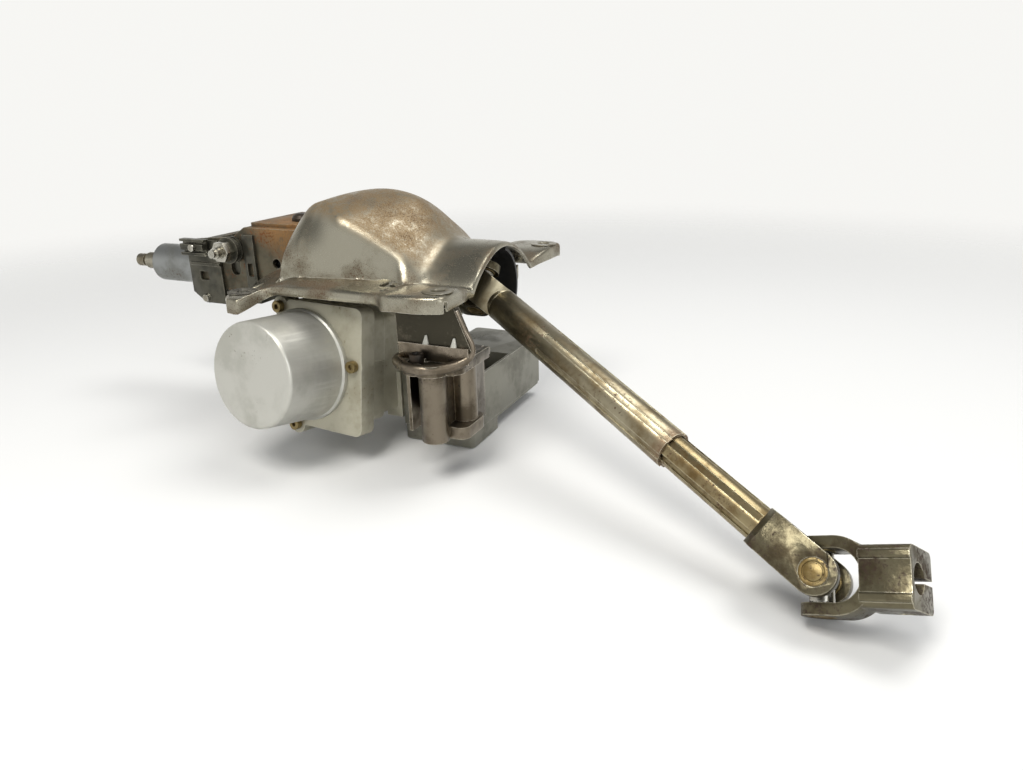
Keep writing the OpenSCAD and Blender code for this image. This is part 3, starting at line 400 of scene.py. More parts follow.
class Effects:
    """Shader groups that several finishes share, each built once."""

    def __init__(self) -> None:
        """Builds the groups."""
        self.blotches = self._blotches()
        self.specks = self._specks()
        self.grain = self._grain()
        self.brushing = self._brushing()
        self.edges = self._edges()

    @staticmethod
    def _group(name: str, values: dict[str, float], output: str) -> GroupParts:
        """Starts a shader group that reads a place and some values and puts out one value.

        Args:
            name: Name of the group.
            values: Name and default of each value that it reads.
            output: Name of what it puts out.

        Returns:
            The group, a graph on it, and its input and output nodes.
        """
        tree = bpy.data.node_groups.new(name, "ShaderNodeTree")
        tree.interface.new_socket("Vector", in_out="INPUT", socket_type="NodeSocketVector")
        for label, default in values.items():
            socket = tree.interface.new_socket(label, in_out="INPUT", socket_type="NodeSocketFloat")
            socket.default_value = default
        tree.interface.new_socket(output, in_out="OUTPUT", socket_type="NodeSocketFloat")
        graph = Graph(tree)
        return tree, graph, graph.add("NodeGroupInput"), graph.add("NodeGroupOutput")

    @staticmethod
    def _noise(graph: Graph, place: Socket, scale: Socket, detail: float, roughness: float = 0.5) -> Socket:
        """Adds noise to a group.

        Args:
            graph: Graph of the group.
            place: Coordinates of the surface.
            scale: Scale of the noise.
            detail: Number of finer layers.
            roughness: Strength of the finer layers.

        Returns:
            The noise's socket.
        """
        noise = graph.add("ShaderNodeTexNoise")
        noise.inputs["Detail"].default_value = detail
        noise.inputs["Roughness"].default_value = roughness
        graph.join(place, noise.inputs["Vector"])
        graph.join(scale, noise.inputs["Scale"])
        return noise.outputs["Fac"]

    def _blotches(self) -> bpy.types.NodeTree:
        """Soft patches, as of stains and uneven plating."""
        values = {"Scale": 20, "Low": 0.4, "High": 0.7}
        tree, graph, source, result = self._group("soft_blotches", values, "Mask")
        noise = self._noise(graph, source.outputs["Vector"], source.outputs["Scale"], 5, 0.62)
        span = graph.add("ShaderNodeMapRange", interpolation_type="SMOOTHSTEP")
        graph.join(noise, span.inputs["Value"])
        graph.join(source.outputs["Low"], span.inputs["From Min"])
        graph.join(source.outputs["High"], span.inputs["From Max"])
        graph.join(span.outputs["Result"], result.inputs["Mask"])
        return tree

    def _specks(self) -> bpy.types.NodeTree:
        """Small pits and specks that gather in patches."""
        values = {"Scale": 400, "Patch Scale": 25, "Amount": 0.5}
        tree, graph, source, result = self._group("gathered_specks", values, "Mask")
        fine = self._noise(graph, source.outputs["Vector"], source.outputs["Scale"], 3, 0.7)
        patch = self._noise(graph, source.outputs["Vector"], source.outputs["Patch Scale"], 4)
        drop = graph.math("MULTIPLY", source.outputs["Amount"], 0.5)
        share = graph.math("MULTIPLY", graph.math("SUBTRACT", patch, 0.5), 0.7)
        level = graph.math("ADD", graph.math("ADD", fine, share), drop)
        graph.join(graph.ramp(level, 0.74, 0.90), result.inputs["Mask"])
        return tree

    def _grain(self) -> bpy.types.NodeTree:
        """Fine surface unevenness, as of a casting or a rolled sheet."""
        tree, graph, source, result = self._group("surface_grain", {"Scale": 600}, "Height")
        noise = self._noise(graph, source.outputs["Vector"], source.outputs["Scale"], 4, 0.6)
        graph.join(noise, result.inputs["Height"])
        return tree

    def _brushing(self) -> bpy.types.NodeTree:
        """Fine lines along the vector's X axis."""
        tree, graph, source, result = self._group("drawn_lines", {"Scale": 900}, "Height")
        flat = graph.add("ShaderNodeVectorMath", operation="MULTIPLY")
        graph.join(source.outputs["Vector"], flat.inputs[0])
        flat.inputs[1].default_value = (0.03, 1, 1)
        noise = self._noise(graph, flat.outputs["Vector"], source.outputs["Scale"], 3)
        graph.join(noise, result.inputs["Height"])
        return tree

    def _edges(self) -> bpy.types.NodeTree:
        """Rubbed edges, broken up by noise."""
        values = {"Radius": 0.0012, "Scale": 180}
        tree, graph, source, result = self._group("rubbed_edges", values, "Mask")
        bevel = graph.add("ShaderNodeBevel", samples=4)
        graph.join(source.outputs["Radius"], bevel.inputs["Radius"])
        shape = graph.add("ShaderNodeNewGeometry")
        dot = graph.add("ShaderNodeVectorMath", operation="DOT_PRODUCT")
        graph.join(bevel.outputs["Normal"], dot.inputs[0])
        graph.join(shape.outputs["Normal"], dot.inputs[1])
        turn = graph.math("SUBTRACT", 1.0, dot.outputs["Value"])
        noise = self._noise(graph, source.outputs["Vector"], source.outputs["Scale"], 4)
        broken = graph.math("MULTIPLY", turn, graph.ramp(noise, 0.3, 0.62))
        graph.join(graph.ramp(broken, 0.01, 0.10), result.inputs["Mask"])
        return tree


class Lay(Enum):
    """Direction of the fine lines on a finish."""

    NONE = "none"
    ALONG = "along"


@dataclass(frozen=True)
class StainOrShadeFilm:
    """A thin stain, or a painted shade, that covers one end of a piece, broken up by patches.

    The stain or painted shade grows along the axis from low to high, in metres of the part's frame, and ends
    at stop.
    It fades out along X over clear_x. The larger whole is, the fewer gaps the patches leave.
    """

    colour: Colour
    axis: Point
    low: float
    high: float
    scale: float = 60
    roughness: float = 0.62
    metallic: float = 0.25
    stop: float | None = None
    clear_x: Span | None = None
    whole: float = 0.0


@dataclass(frozen=True)
class Finish:
    """One surface finish with its colours, gloss and ageing, and on some pieces painted shade."""

    name: str
    colour: Colour
    second: Colour
    metallic: float
    roughness: float
    rough_swing: float = 0.12
    blotch_scale: float = 30
    blotch_span: Span = (0.42, 0.66)
    grain_scale: float = 900
    grain_bump: float = 0.06
    stain: Colour | None = None
    stain_amount: float = 0.0
    stain_scale: float = 420
    stain_patch: float = 26
    rubbed: Colour | None = None
    lay: Lay = Lay.NONE
    lay_bump: float = 0.05
    stain_rough: float = 0.35
    stain_metal: float = 0.15
    film: StainOrShadeFilm | None = None

    def make(self, effects: Effects) -> bpy.types.Material:
        """Builds the material of this finish.

        Args:
            effects: The shared shader groups.

        Returns:
            The new material.
        """
        material = bpy.data.materials.new(self.name)
        material.use_nodes = True
        graph = Graph(material.node_tree)
        shader = material.node_tree.nodes["Principled BSDF"]
        shader.inputs["Metallic"].default_value = self.metallic
        place = graph.add("ShaderNodeTexCoord").outputs["Object"]

        patches = self._effect(graph, effects.blotches, place, Scale=self.blotch_scale,
                               Low=self.blotch_span[0], High=self.blotch_span[1]).outputs["Mask"]
        colour = graph.mix(patches, self.colour, self.second)
        swing = self.rough_swing / 2
        rough = graph.ramp(patches, 0, 1, self.roughness - swing, self.roughness + swing)
        metal = graph.math("MULTIPLY", self.metallic, 1.0)
        if self.film is not None:
            cover = self._film_cover(graph, effects, place, self.film)
            colour = graph.mix(cover, colour, self.film.colour)
            rough = graph.blend(cover, rough, self.film.roughness)
            metal = graph.blend(cover, metal, self.film.metallic)
        if self.stain is not None:
            values = {"Scale": self.stain_scale, "Amount": self.stain_amount, "Patch Scale": self.stain_patch}
            specks = self._effect(graph, effects.specks, place, **values).outputs["Mask"]
            colour = graph.mix(specks, colour, self.stain)
            rough = graph.math("ADD", rough, graph.math("MULTIPLY", specks, self.stain_rough), clamp=True)
            metal = graph.blend(specks, metal, self.metallic * self.stain_metal)
        if self.rubbed is not None:
            rubbed = self._effect(graph, effects.edges, place).outputs["Mask"]
            colour = graph.mix(rubbed, colour, self.rubbed)
        graph.join(colour, shader.inputs["Base Color"])
        graph.join(rough, shader.inputs["Roughness"])
        if self.film is not None or self.stain is not None:
            graph.join(metal, shader.inputs["Metallic"])

        height = self._effect(graph, effects.grain, place, Scale=self.grain_scale).outputs["Height"]
        bump = graph.add("ShaderNodeBump")
        bump.inputs["Strength"].default_value = self.grain_bump
        bump.inputs["Distance"].default_value = GRAIN_DEPTH
        graph.join(height, bump.inputs["Height"])
        if self.lay is not Lay.NONE:
            lines = self._effect(graph, effects.brushing, place).outputs["Height"]
            second = graph.add("ShaderNodeBump")
            second.inputs["Strength"].default_value = self.lay_bump
            second.inputs["Distance"].default_value = LINE_DEPTH
            graph.join(lines, second.inputs["Height"])
            graph.join(bump.outputs["Normal"], second.inputs["Normal"])
            bump = second
        graph.join(bump.outputs["Normal"], shader.inputs["Normal"])
        return material

    @classmethod
    def _film_cover(cls, graph: Graph, effects: Effects, place: Socket, film: StainOrShadeFilm) -> Socket:
        """Share of the surface that a film covers.

        Args:
            graph: Graph of the material.
            effects: The shared shader groups.
            place: Coordinates of the surface.
            film: The film.

        Returns:
            The cover from 0 to 1.
        """
        along = graph.add("ShaderNodeVectorMath", operation="DOT_PRODUCT")
        graph.join(place, along.inputs[0])
        along.inputs[1].default_value = film.axis
        reach = graph.ramp(along.outputs["Value"], film.low, film.high)
        if film.stop is not None:
            left = graph.ramp(along.outputs["Value"], film.stop, film.stop + (film.high - film.low), 1, 0)
            reach = graph.math("MULTIPLY", reach, left)
        if film.clear_x is not None:
            apart = graph.add("ShaderNodeSeparateXYZ")
            graph.join(place, apart.inputs[0])
            reach = graph.math("MULTIPLY", reach, graph.ramp(apart.outputs["X"], *film.clear_x, 1, 0))
        fine = cls._effect(graph, effects.blotches, place, Scale=film.scale * 6, Low=0.36, High=0.6)
        wide = cls._effect(graph, effects.blotches, place, Scale=film.scale, Low=0.25, High=0.6)
        broken = graph.math("ADD", graph.math("MULTIPLY", wide.outputs["Mask"], 0.6),
                            graph.math("MULTIPLY", fine.outputs["Mask"], 0.5))
        cover = graph.math("ADD", broken, film.whole)
        return graph.math("MULTIPLY", reach, cover, clamp=True)

    @staticmethod
    def _effect(graph: Graph, group: bpy.types.NodeTree, place: Socket, **values: float) -> bpy.types.Node:
        """Places a shared group with its own values.

        Args:
            graph: Graph of the material.
            group: The shared group.
            place: Coordinates that the group reads.
            **values: Values of the group's inputs.

        Returns:
            The group's node.
        """
        node = graph.add("ShaderNodeGroup", node_tree=group)
        graph.join(place, node.inputs["Vector"])
        for key, value in values.items():
            node.inputs[key].default_value = value
        return node


class Slot(Enum):
    """The record's material slots."""

    ZINC_SHEET = "zinc_sheet"
    RUSTY_SHEET = "rusty_sheet"
    GREY_PLATE = "grey_plate"
    BRIGHT_STEEL = "bright_steel"
    CAST_ALLOY = "cast_alloy"
    SHINY_ALLOY = "shiny_alloy"
    CAN_METAL = "can_metal"
    UNIT_GREY = "unit_grey"
    OILED_STEEL = "oiled_steel"
    FORGED_STEEL = "forged_steel"
    BRASSY = "brassy"
    BLACK_PLASTIC = "black_plastic"
    BLACK_STEEL = "black_steel"
    NYLON = "nylon"
    COPPER = "copper"
    BOARD = "board"


# Direction of the lower shaft, down from the upper joint.
SHAFT_LINE = (0.82754, -0.47364, -0.30138)

# Colours as seen, then metallic, roughness, its swing and the scale of the blotches.
FINISHES: dict[Slot, Finish] = {
    Slot.ZINC_SHEET: Finish("zinc_sheet", srgb(158, 154, 139), srgb(126, 120, 104), 1.0, 0.33, 0.14, 26,
                            stain=srgb(84, 62, 40), stain_amount=0.40, stain_scale=1100,
                            rubbed=srgb(200, 196, 182),
                            film=StainOrShadeFilm(srgb(126, 106, 76), (0.264, 0.628, 0.70), -0.050, -0.034, 150, 0.56,
                                      0.5, clear_x=(-0.060, -0.022))),
    Slot.RUSTY_SHEET: Finish("rusty_sheet", srgb(96, 90, 74), srgb(72, 68, 56), 0.75, 0.50, 0.14, 36,
                             stain=srgb(104, 64, 30), stain_amount=0.34, stain_patch=40,
                             rubbed=srgb(150, 144, 126),
                             film=StainOrShadeFilm(srgb(134, 98, 56), (0.6, 0.0, 0.8), -0.124, -0.098, 120, 0.68, 0.3)),
    Slot.GREY_PLATE: Finish("grey_plate", srgb(84, 82, 72), srgb(62, 61, 54), 0.8, 0.44, 0.14, 40,
                            stain=srgb(80, 58, 36), stain_amount=0.20, rubbed=srgb(142, 138, 124)),
    Slot.BRIGHT_STEEL: Finish("bright_steel", srgb(178, 175, 165), srgb(140, 135, 122), 1.0, 0.30, 0.12, 60,
                              stain=srgb(84, 66, 44), stain_amount=0.20, rubbed=srgb(214, 212, 204)),
    Slot.CAST_ALLOY: Finish("cast_alloy", srgb(178, 174, 156), srgb(158, 153, 134), 0.55, 0.55, 0.12, 26,
                            grain_scale=520, grain_bump=0.24, stain=srgb(102, 90, 68), stain_amount=0.14,
                            rubbed=srgb(206, 203, 190)),
    # The shiny alloy's colours are darkened partly as painted shade, for the side support and its rim and
    # ledge, which lie in the bracket's shade.
    Slot.SHINY_ALLOY: Finish("shiny_alloy", srgb(138, 128, 114), srgb(98, 89, 76), 1.0, 0.34, 0.16, 34,
                             grain_scale=480, grain_bump=0.14, stain=srgb(66, 54, 40), stain_amount=0.18,
                             rubbed=srgb(206, 198, 184)),
    Slot.CAN_METAL: Finish("can_metal", srgb(190, 189, 181), srgb(174, 173, 164), 0.6, 0.42, 0.12, 24,
                           stain=srgb(116, 108, 92), stain_amount=0.08, rubbed=srgb(226, 224, 214)),
    Slot.UNIT_GREY: Finish("unit_grey", srgb(132, 130, 118), srgb(108, 106, 95), 0.5, 0.48, 0.12, 24,
                           grain_scale=560, grain_bump=0.16, stain=srgb(86, 80, 66), stain_amount=0.14,
                           rubbed=srgb(186, 184, 172)),
    Slot.OILED_STEEL: Finish("oiled_steel", srgb(150, 142, 120), srgb(106, 92, 66), 1.0, 0.40, 0.16, 40,
                             blotch_span=(0.38, 0.72), stain=srgb(74, 50, 28), stain_amount=0.28,
                             stain_patch=34, lay=Lay.ALONG, rubbed=srgb(190, 186, 164),
                             film=StainOrShadeFilm(srgb(104, 62, 30), SHAFT_LINE, 0.216, 0.240, 90, 0.6, 0.3, 0.246)),
    Slot.FORGED_STEEL: Finish("forged_steel", srgb(104, 98, 78), srgb(70, 62, 46), 0.9, 0.40, 0.18, 52,
                              grain_scale=380, grain_bump=0.34, stain=srgb(54, 38, 24), stain_amount=0.36,
                              rubbed=srgb(190, 184, 164)),
    Slot.BRASSY: Finish("brassy", srgb(142, 126, 88), srgb(110, 92, 56), 0.9, 0.46, 0.14, 90,
                        grain_scale=700, grain_bump=0.2, stain=srgb(70, 50, 28), stain_amount=0.30),
    Slot.BLACK_PLASTIC: Finish("black_plastic", srgb(30, 30, 30), srgb(42, 40, 38), 0.0, 0.46, 0.12, 40,
                               grain_scale=1400, grain_bump=0.12),
    Slot.BLACK_STEEL: Finish("black_steel", srgb(36, 33, 30), srgb(60, 50, 40), 0.6, 0.42, 0.14, 80),
    Slot.NYLON: Finish("nylon", srgb(226, 224, 212), srgb(214, 210, 196), 0.0, 0.42, 0.1, 40),
    Slot.COPPER: Finish("copper", srgb(190, 112, 64), srgb(150, 80, 44), 1.0, 0.36, 0.1, 60),
    Slot.BOARD: Finish("board", srgb(26, 84, 44), srgb(20, 66, 36), 0.0, 0.4, 0.1, 60),
}

# Nodes that look unlike the rest of their slot.
OWN_FINISHES: dict[str, Finish] = {
    "mount_bushes": Finish("worn_bush", srgb(168, 164, 150), srgb(138, 132, 116), 1.0, 0.36, 0.12, 60,
                           stain=srgb(84, 62, 40), stain_amount=0.24,
                           film=StainOrShadeFilm(srgb(24, 20, 16), (0.0, 0.0, -1.0), 0.0012, 0.004, 300, 0.7, 0.2)),
    "jacket_tube": Finish("drawn_tube", srgb(146, 148, 147), srgb(122, 123, 119), 0.9, 0.40, 0.12, 26,
                          stain=srgb(86, 74, 58), stain_amount=0.16, lay=Lay.ALONG),
    "wheel_shaft": Finish("turned_shaft", srgb(140, 134, 118), srgb(104, 94, 76), 1.0, 0.36, 0.14, 60,
                          stain=srgb(74, 54, 34), stain_amount=0.26, rubbed=srgb(190, 186, 172)),
    "inner_shaft": Finish("oiled_shaft", srgb(146, 133, 102), srgb(106, 88, 58), 1.0, 0.40, 0.16, 44,
                          stain=srgb(76, 52, 28), stain_amount=0.30, stain_patch=40, lay=Lay.ALONG,
                          rubbed=srgb(196, 188, 156)),
    # The side support is a darker copy of the shiny alloy, as painted shade, and its film paints the deeper
    # shade on the plate under the bracket: dark grey above z -0.054 m, fading in from -0.066 m. Its specks
    # are stains.
    "side_support": Finish("alloy_with_painted_shade", srgb(124, 115, 101), srgb(82, 74, 62), 1.0, 0.36, 0.16, 34,
                           grain_scale=480, grain_bump=0.14, stain=srgb(54, 44, 32), stain_amount=0.24,
                           rubbed=srgb(196, 188, 172),
                           # Painted shade on the plate under the bracket.
                           film=StainOrShadeFilm(srgb(64, 60, 48), (0.0, 0.0, 1.0), -0.066, -0.054, 60, 0.5, 0.7,
                                     whole=0.5)),
}
for tube_piece in ("tube_fork", "tube_cups"):
    OWN_FINISHES[tube_piece] = FINISHES[Slot.OILED_STEEL]


def bodies_by_node(frame: dict) -> dict[str, str]:
    """Body of each node, from the record."""
    bodies = frame["record"]["behaviour"]["bodies"]
    return {node: body for body, nodes in bodies.items() for node in nodes}


class Palette:
    """The materials, made once and given to pieces by slot, or by node where a node has its own."""

    def __init__(self, effects: Effects) -> None:
        """Makes every finish."""
        finishes = {finish.name: finish for finish in (*FINISHES.values(), *OWN_FINISHES.values())}
        self.materials = {name: finish.make(effects) for name, finish in finishes.items()}

    def dress(self, piece: Piece, slot: Slot, node: str = "") -> None:
        """Gives a piece the material of its slot, or the node's own one.

        Args:
            piece: The piece to dress.
            slot: Its material slot.
            node: The node that it stands for, if any.
        """
        finish = OWN_FINISHES.get(node, FINISHES[slot])
        piece.data.materials.clear()
        piece.data.materials.append(self.materials[finish.name])

    def dress_frame(self, frame: dict) -> None:
        """Gives every solid of the frame the material of its slot.
        """
        for part in frame["record"]["subparts"]:
            node = frame["nodes"][part["node"]]
            self.dress(node, Slot(part["material_slot"]), part["node"])


@dataclass
class SoftenedSolids:
    """Solids whose edges are rounded as on the real pieces."""

    # Width of each node's rounded edges.
    widths: dict[str, float] = field(default_factory=lambda: {
        "guide_channel": 0.5, "top_plate": 0.5, "guide_plates": 0.5, "clamp_saddle": 0.4, "gear_housing": 1.2,
        "housing_cover": 0.8, "motor_flange": 1.2, "motor_can": 0.5, "ecu_case": 0.8, "ecu_cover": 0.9,
        "side_support": 1.4, "far_support": 1.0, "tube_fork": 1.5, "shaft_fork": 1.5, "clamp_yoke": 1.5,
        "output_yoke": 1.5, "clamp_nut": 0.4, "clamp_lever": 0.8, "outer_tube": 0.4, "inner_shaft": 0.4,
        "pivot_lugs": 0.4, "motor_screws": 0.3, "support_screw": 0.4, "mount_bushes": 0.4,
    })

    def build(self, frame: dict, palette: Palette) -> None:
        """Models each softened piece and lets it stand for its solid.

        Args:
            palette: The materials.
        """
        slots = {part["node"]: Slot(part["material_slot"]) for part in frame["record"]["subparts"]}
        bodies = bodies_by_node(frame)
        for node, width in self.widths.items():
            piece = Bench.copy_of(frame["nodes"][node], f"{node}_soft")
            Bench.round_edges(piece, width)
            palette.dress(piece, slots[node], node)
            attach(piece, bodies[node])
            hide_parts(node)
            LOG.info("softened %s: %d faces", node, len(piece.data.polygons))


@dataclass
class PressedSheet:
    """The pressed bracket as one smooth sheet with a faceted dome.

    A cross-section of the dome runs from the crown over a crease and a knee to the wall's foot.
    """

    # Edges sharper than the angle keep part of their crease when the sheet is smoothed.
    crease_angle: float = 50
    crease_weight: float = 0.5
    levels: int = 2
    shade_angle: float = 50
    # Foot of the solid's dome: its height, its half width at the dome and at the saddle, and the taper.
    foot_z: float = -6.0
    solid_foot: Span = (85.0, 58.0)
    solid_taper: Span = (-74.0, -34.0)
    # The dome's rear end, the last section behind which it stays the same, and its fade to the saddle.
    dome_end: float = -167.5
    dome_rear: float = -150.0
    dome_fade: Span = (-66.0, -44.0)
    # How far the pressing reaches past the foot, as a share of the half width, and below it.
    foot_reach: float = 1.14
    foot_depth: float = 4.0
    edge_gap: float = 0.3
    least_rise: float = 0.5
    # Foot of the pressed wall: its half width, and its taper from a place on.
    wall_half: float = 81.0
    wall_start: float = -148.0
    wall_taper: float = -0.20
    # The crease: its height, its fall from a place on, the bend there, and its rise at the leaning rear.
    crease_z: float = 45.5
    crease_start: float = -108.0
    crease_fall: float = -0.66
    crease_bend: float = 7.0
    rear_rise: float = 10.0
    crown_gap: float = 3.0
    # Inset of the crease from the foot, where the wall is upright and where it leans.
    crease_inset: Span = (6.0, 33.0)
    knee_inset: float = 3.0
    knee_z: float = 20.0
    # Shares of the way from crown to foot, the bow of the top facet, and the shares that soften a bend.
    crease_part: float = 0.7
    knee_part: float = 0.86
    crown_bow: float = 1.5
    soften: tuple[float, ...] = (-0.06, -0.03, 0.0, 0.03, 0.06)
    # Rear tab: place of its bolt hole, reach round the hole, and the rounding of its upper edge.
    tab_hole: Span = (-178.0, 113.0)
    tab_reach: float = 14.0
    tab_edge: float = 7.0
    tab_drop: float = 0.8
    # Holes: place and radius, or ranges along X and Y, then the range of heights that is cut.
    saddle_hole: tuple[float, float, float] = (-31, 10, 6.5)
    saddle_cut: Span = (4, 34)
    slot_x: Span = (-66, -51)
    slot_y: Span = (67, 84)
    slot_cut: Span = (-30, 8)
    slot_corner: float = 3.0
    rail_hole: tuple[float, float, float] = (-52, 95.5, 3.8)
    rail_cut: Span = (-24, 8)

    def build(self, frame: dict, palette: Palette) -> None:
        """Smooths a copy of the bracket's solid.

        Args:
            palette: The materials.
        """
        piece = Bench.copy_of(frame["nodes"]["mounting_bracket"], "pressed_bracket")
        Bench.pick(piece)
        bpy.ops.object.mode_set(mode="EDIT")
        bpy.ops.mesh.select_all(action="SELECT")
        bpy.ops.mesh.quads_convert_to_tris()
        bpy.ops.mesh.tris_convert_to_quads(face_threshold=math.radians(60), shape_threshold=math.radians(120))
        bpy.ops.mesh.select_all(action="DESELECT")
        bpy.ops.mesh.edges_select_sharp(sharpness=math.radians(self.crease_angle))
        bpy.ops.transform.edge_crease(value=self.crease_weight)
        bpy.ops.object.mode_set(mode="OBJECT")
        smooth = piece.modifiers.new("smooth_sheet", "SUBSURF")
        smooth.levels = self.levels
        smooth.render_levels = self.levels
        Bench.apply_all(piece)
        self._press_facets(piece)
        self._round_tabs(piece)
        self._pierce(piece)
        Bench.smooth(piece, self.shade_angle)
        palette.dress(piece, Slot.ZINC_SHEET)
        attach(piece, "bracket")
        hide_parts("mounting_bracket")
        LOG.info("pressed bracket: %d faces", len(piece.data.polygons))

    @staticmethod
    def _ease(value: float, low: float, high: float) -> float:
        """Smooth step from 0 at low to 1 at high."""
        part = min(1.0, max(0.0, (value - low) / (high - low)))
        return part * part * (3 - 2 * part)

    def _outline(self, x: float, part: float, crest: float) -> tuple[float, float]:
        """Point of the dome's cross-section, with a flat top facet and a steep wall.

        Args:
            x: Place of the section along the part in millimetres.
            part: Share of the way from the crown at 0 to the foot at 1.
            crest: Height of the crown there.

        Returns:
            Distance from the middle plane, and height.
        """
        foot = min(self.wall_half, self.wall_half + self.wall_taper * (x - self.wall_start))
        lean = self._ease(-x, -self.crease_start, -self.wall_start)
        fall = self.crease_fall * (x - self.crease_start)
        bend = (fall - math.hypot(fall, self.crease_bend)) / 2
        height = min(self.crease_z + bend + self.rear_rise * lean, crest - self.crown_gap)
        upright, leaning = self.crease_inset
        crease = foot - upright - (leaning - upright) * lean
        knee = min(self.knee_z, (height + self.foot_z) / 2)
        stops = ((0.0, 0.0, crest), (self.crease_part, crease, height),
                 (self.knee_part, foot - self.knee_inset, knee), (1.0, foot, self.foot_z))
        for (low, y0, z0), (high, y1, z1) in zip(stops, stops[1:]):
            if part <= high:
                share = (part - low) / (high - low)
                bow = share ** self.crown_bow if low == 0 else share
                return y0 + (y1 - y0) * share, z0 + (z1 - z0) * bow
        return foot, self.foot_z

    def _press_facets(self, piece: Piece) -> None:
        """Gives the round dome the flat facets and the soft crease of the pressed sheet.

        Args:
            piece: The smoothed sheet.
        """
        wide, narrow = self.solid_foot
        moves: dict[int, Vector] = {}
        for vertex in piece.data.vertices:
            x, y, z = (value / MM for value in vertex.co)
            weight = 1 - self._ease(x, *self.dome_fade)
            if weight <= 0 or x < self.dome_end or z < self.foot_z - self.foot_depth:
                continue
            at = max(x, self.dome_rear)
            foot = wide + (narrow - wide) * self._ease(at, *self.solid_taper)
            part = abs(y) / foot
            if part >= self.foot_reach:
                continue
            crest = self._height(piece, at, 0.0)
            if part < 1:
                own = self._height(piece, at, min(abs(y), foot - self.edge_gap))
                spots = [self._outline(at, min(1.0, max(0.0, part + step)), crest) for step in self.soften]
                goal_y, goal_z = (sum(spot[axis] for spot in spots) / len(spots) for axis in (0, 1))
                scale = (goal_z - self.foot_z) / max(own - self.foot_z, self.least_rise)
                shift_y = goal_y - abs(y)
                shift_z = (z - self.foot_z) * (scale - 1)
            else:
                edge = self._outline(at, 1.0, crest)[0]
                shift_y = (edge - foot) * (1 - self._ease(part, 1.0, self.foot_reach))
                shift_z = 0.0
            side = 1 if y > 0 else -1
            moves[vertex.index] = Vector((0, shift_y * side, shift_z)) * (weight * MM)
        for index, move in moves.items():
            piece.data.vertices[index].co += move

    def _round_tabs(self, piece: Piece) -> None:
        """Rounds the rear tabs about their bolt holes.

        Args:
            piece: The smoothed sheet.
        """
        back, half = self.tab_hole
        reach, edge = self.tab_reach, self.tab_edge
        ends = [vertex for vertex in piece.data.vertices
                if vertex.co.x / MM < back and abs(abs(vertex.co.y) / MM - half) < 2 * reach]
        top = max(vertex.co.z for vertex in ends)
        for vertex in ends:
            side = 1 if vertex.co.y > 0 else -1
            offset = Vector((vertex.co.x / MM - back, vertex.co.y / MM - side * half))
            if offset.length > reach:
                offset *= reach / offset.length
            vertex.co.x = (back + offset.x) * MM
            vertex.co.y = (side * half + offset.y) * MM
            over = min(edge, max(0.0, offset.length - reach + edge))
            drop = edge - math.sqrt(edge * edge - over * over)
            share = self._ease(vertex.co.z, top - edge * MM, top) * self._ease(-offset.x, 0, edge)
            vertex.co.z -= drop * share * self.tab_drop * MM

    @staticmethod
    def _height(piece: Piece, x: float, y: float) -> float:
        """Height of the sheet's upper face at a place in millimetres."""
        above = 0.2
        hit, place, _, _ = piece.ray_cast(Vector((x * MM, y * MM, above)), Vector((0, 0, -1)))
        return place.z / MM if hit else 0.0

    def _pierce(self, piece: Piece) -> None:
        """Cuts the lightening slots and small holes that the sheet has.

        Args:
            piece: The smoothed sheet.
        """
        Bench.cut(piece, self._drill("saddle_hole", self.saddle_hole, self.saddle_cut))
        for side in SIDES.values():
            near, far = sorted(side * edge for edge in self.slot_y)
            (back, front), (bottom, top) = self.slot_x, self.slot_cut
            slot = Bench.block("web_slot", (back, near, bottom), (front, far, top))
            Bench.round_edges(slot, self.slot_corner)
            x, y, radius = self.rail_hole
            Bench.cut(piece, slot, self._drill("rail_hole", (x, side * y, radius), self.rail_cut))

    @staticmethod
    def _drill(name: str, hole: tuple[float, float, float], cut: Span) -> Piece:
        """Models an upright drill.

        Args:
            name: Name of the drill.
            hole: Its place along X and Y, and its radius.
            cut: Its range of heights.

        Returns:
            The drill.
        """
        x, y, radius = hole
        bottom, top = cut
        return Bench.rod(name, (x, y, bottom), (x, y, top), radius)


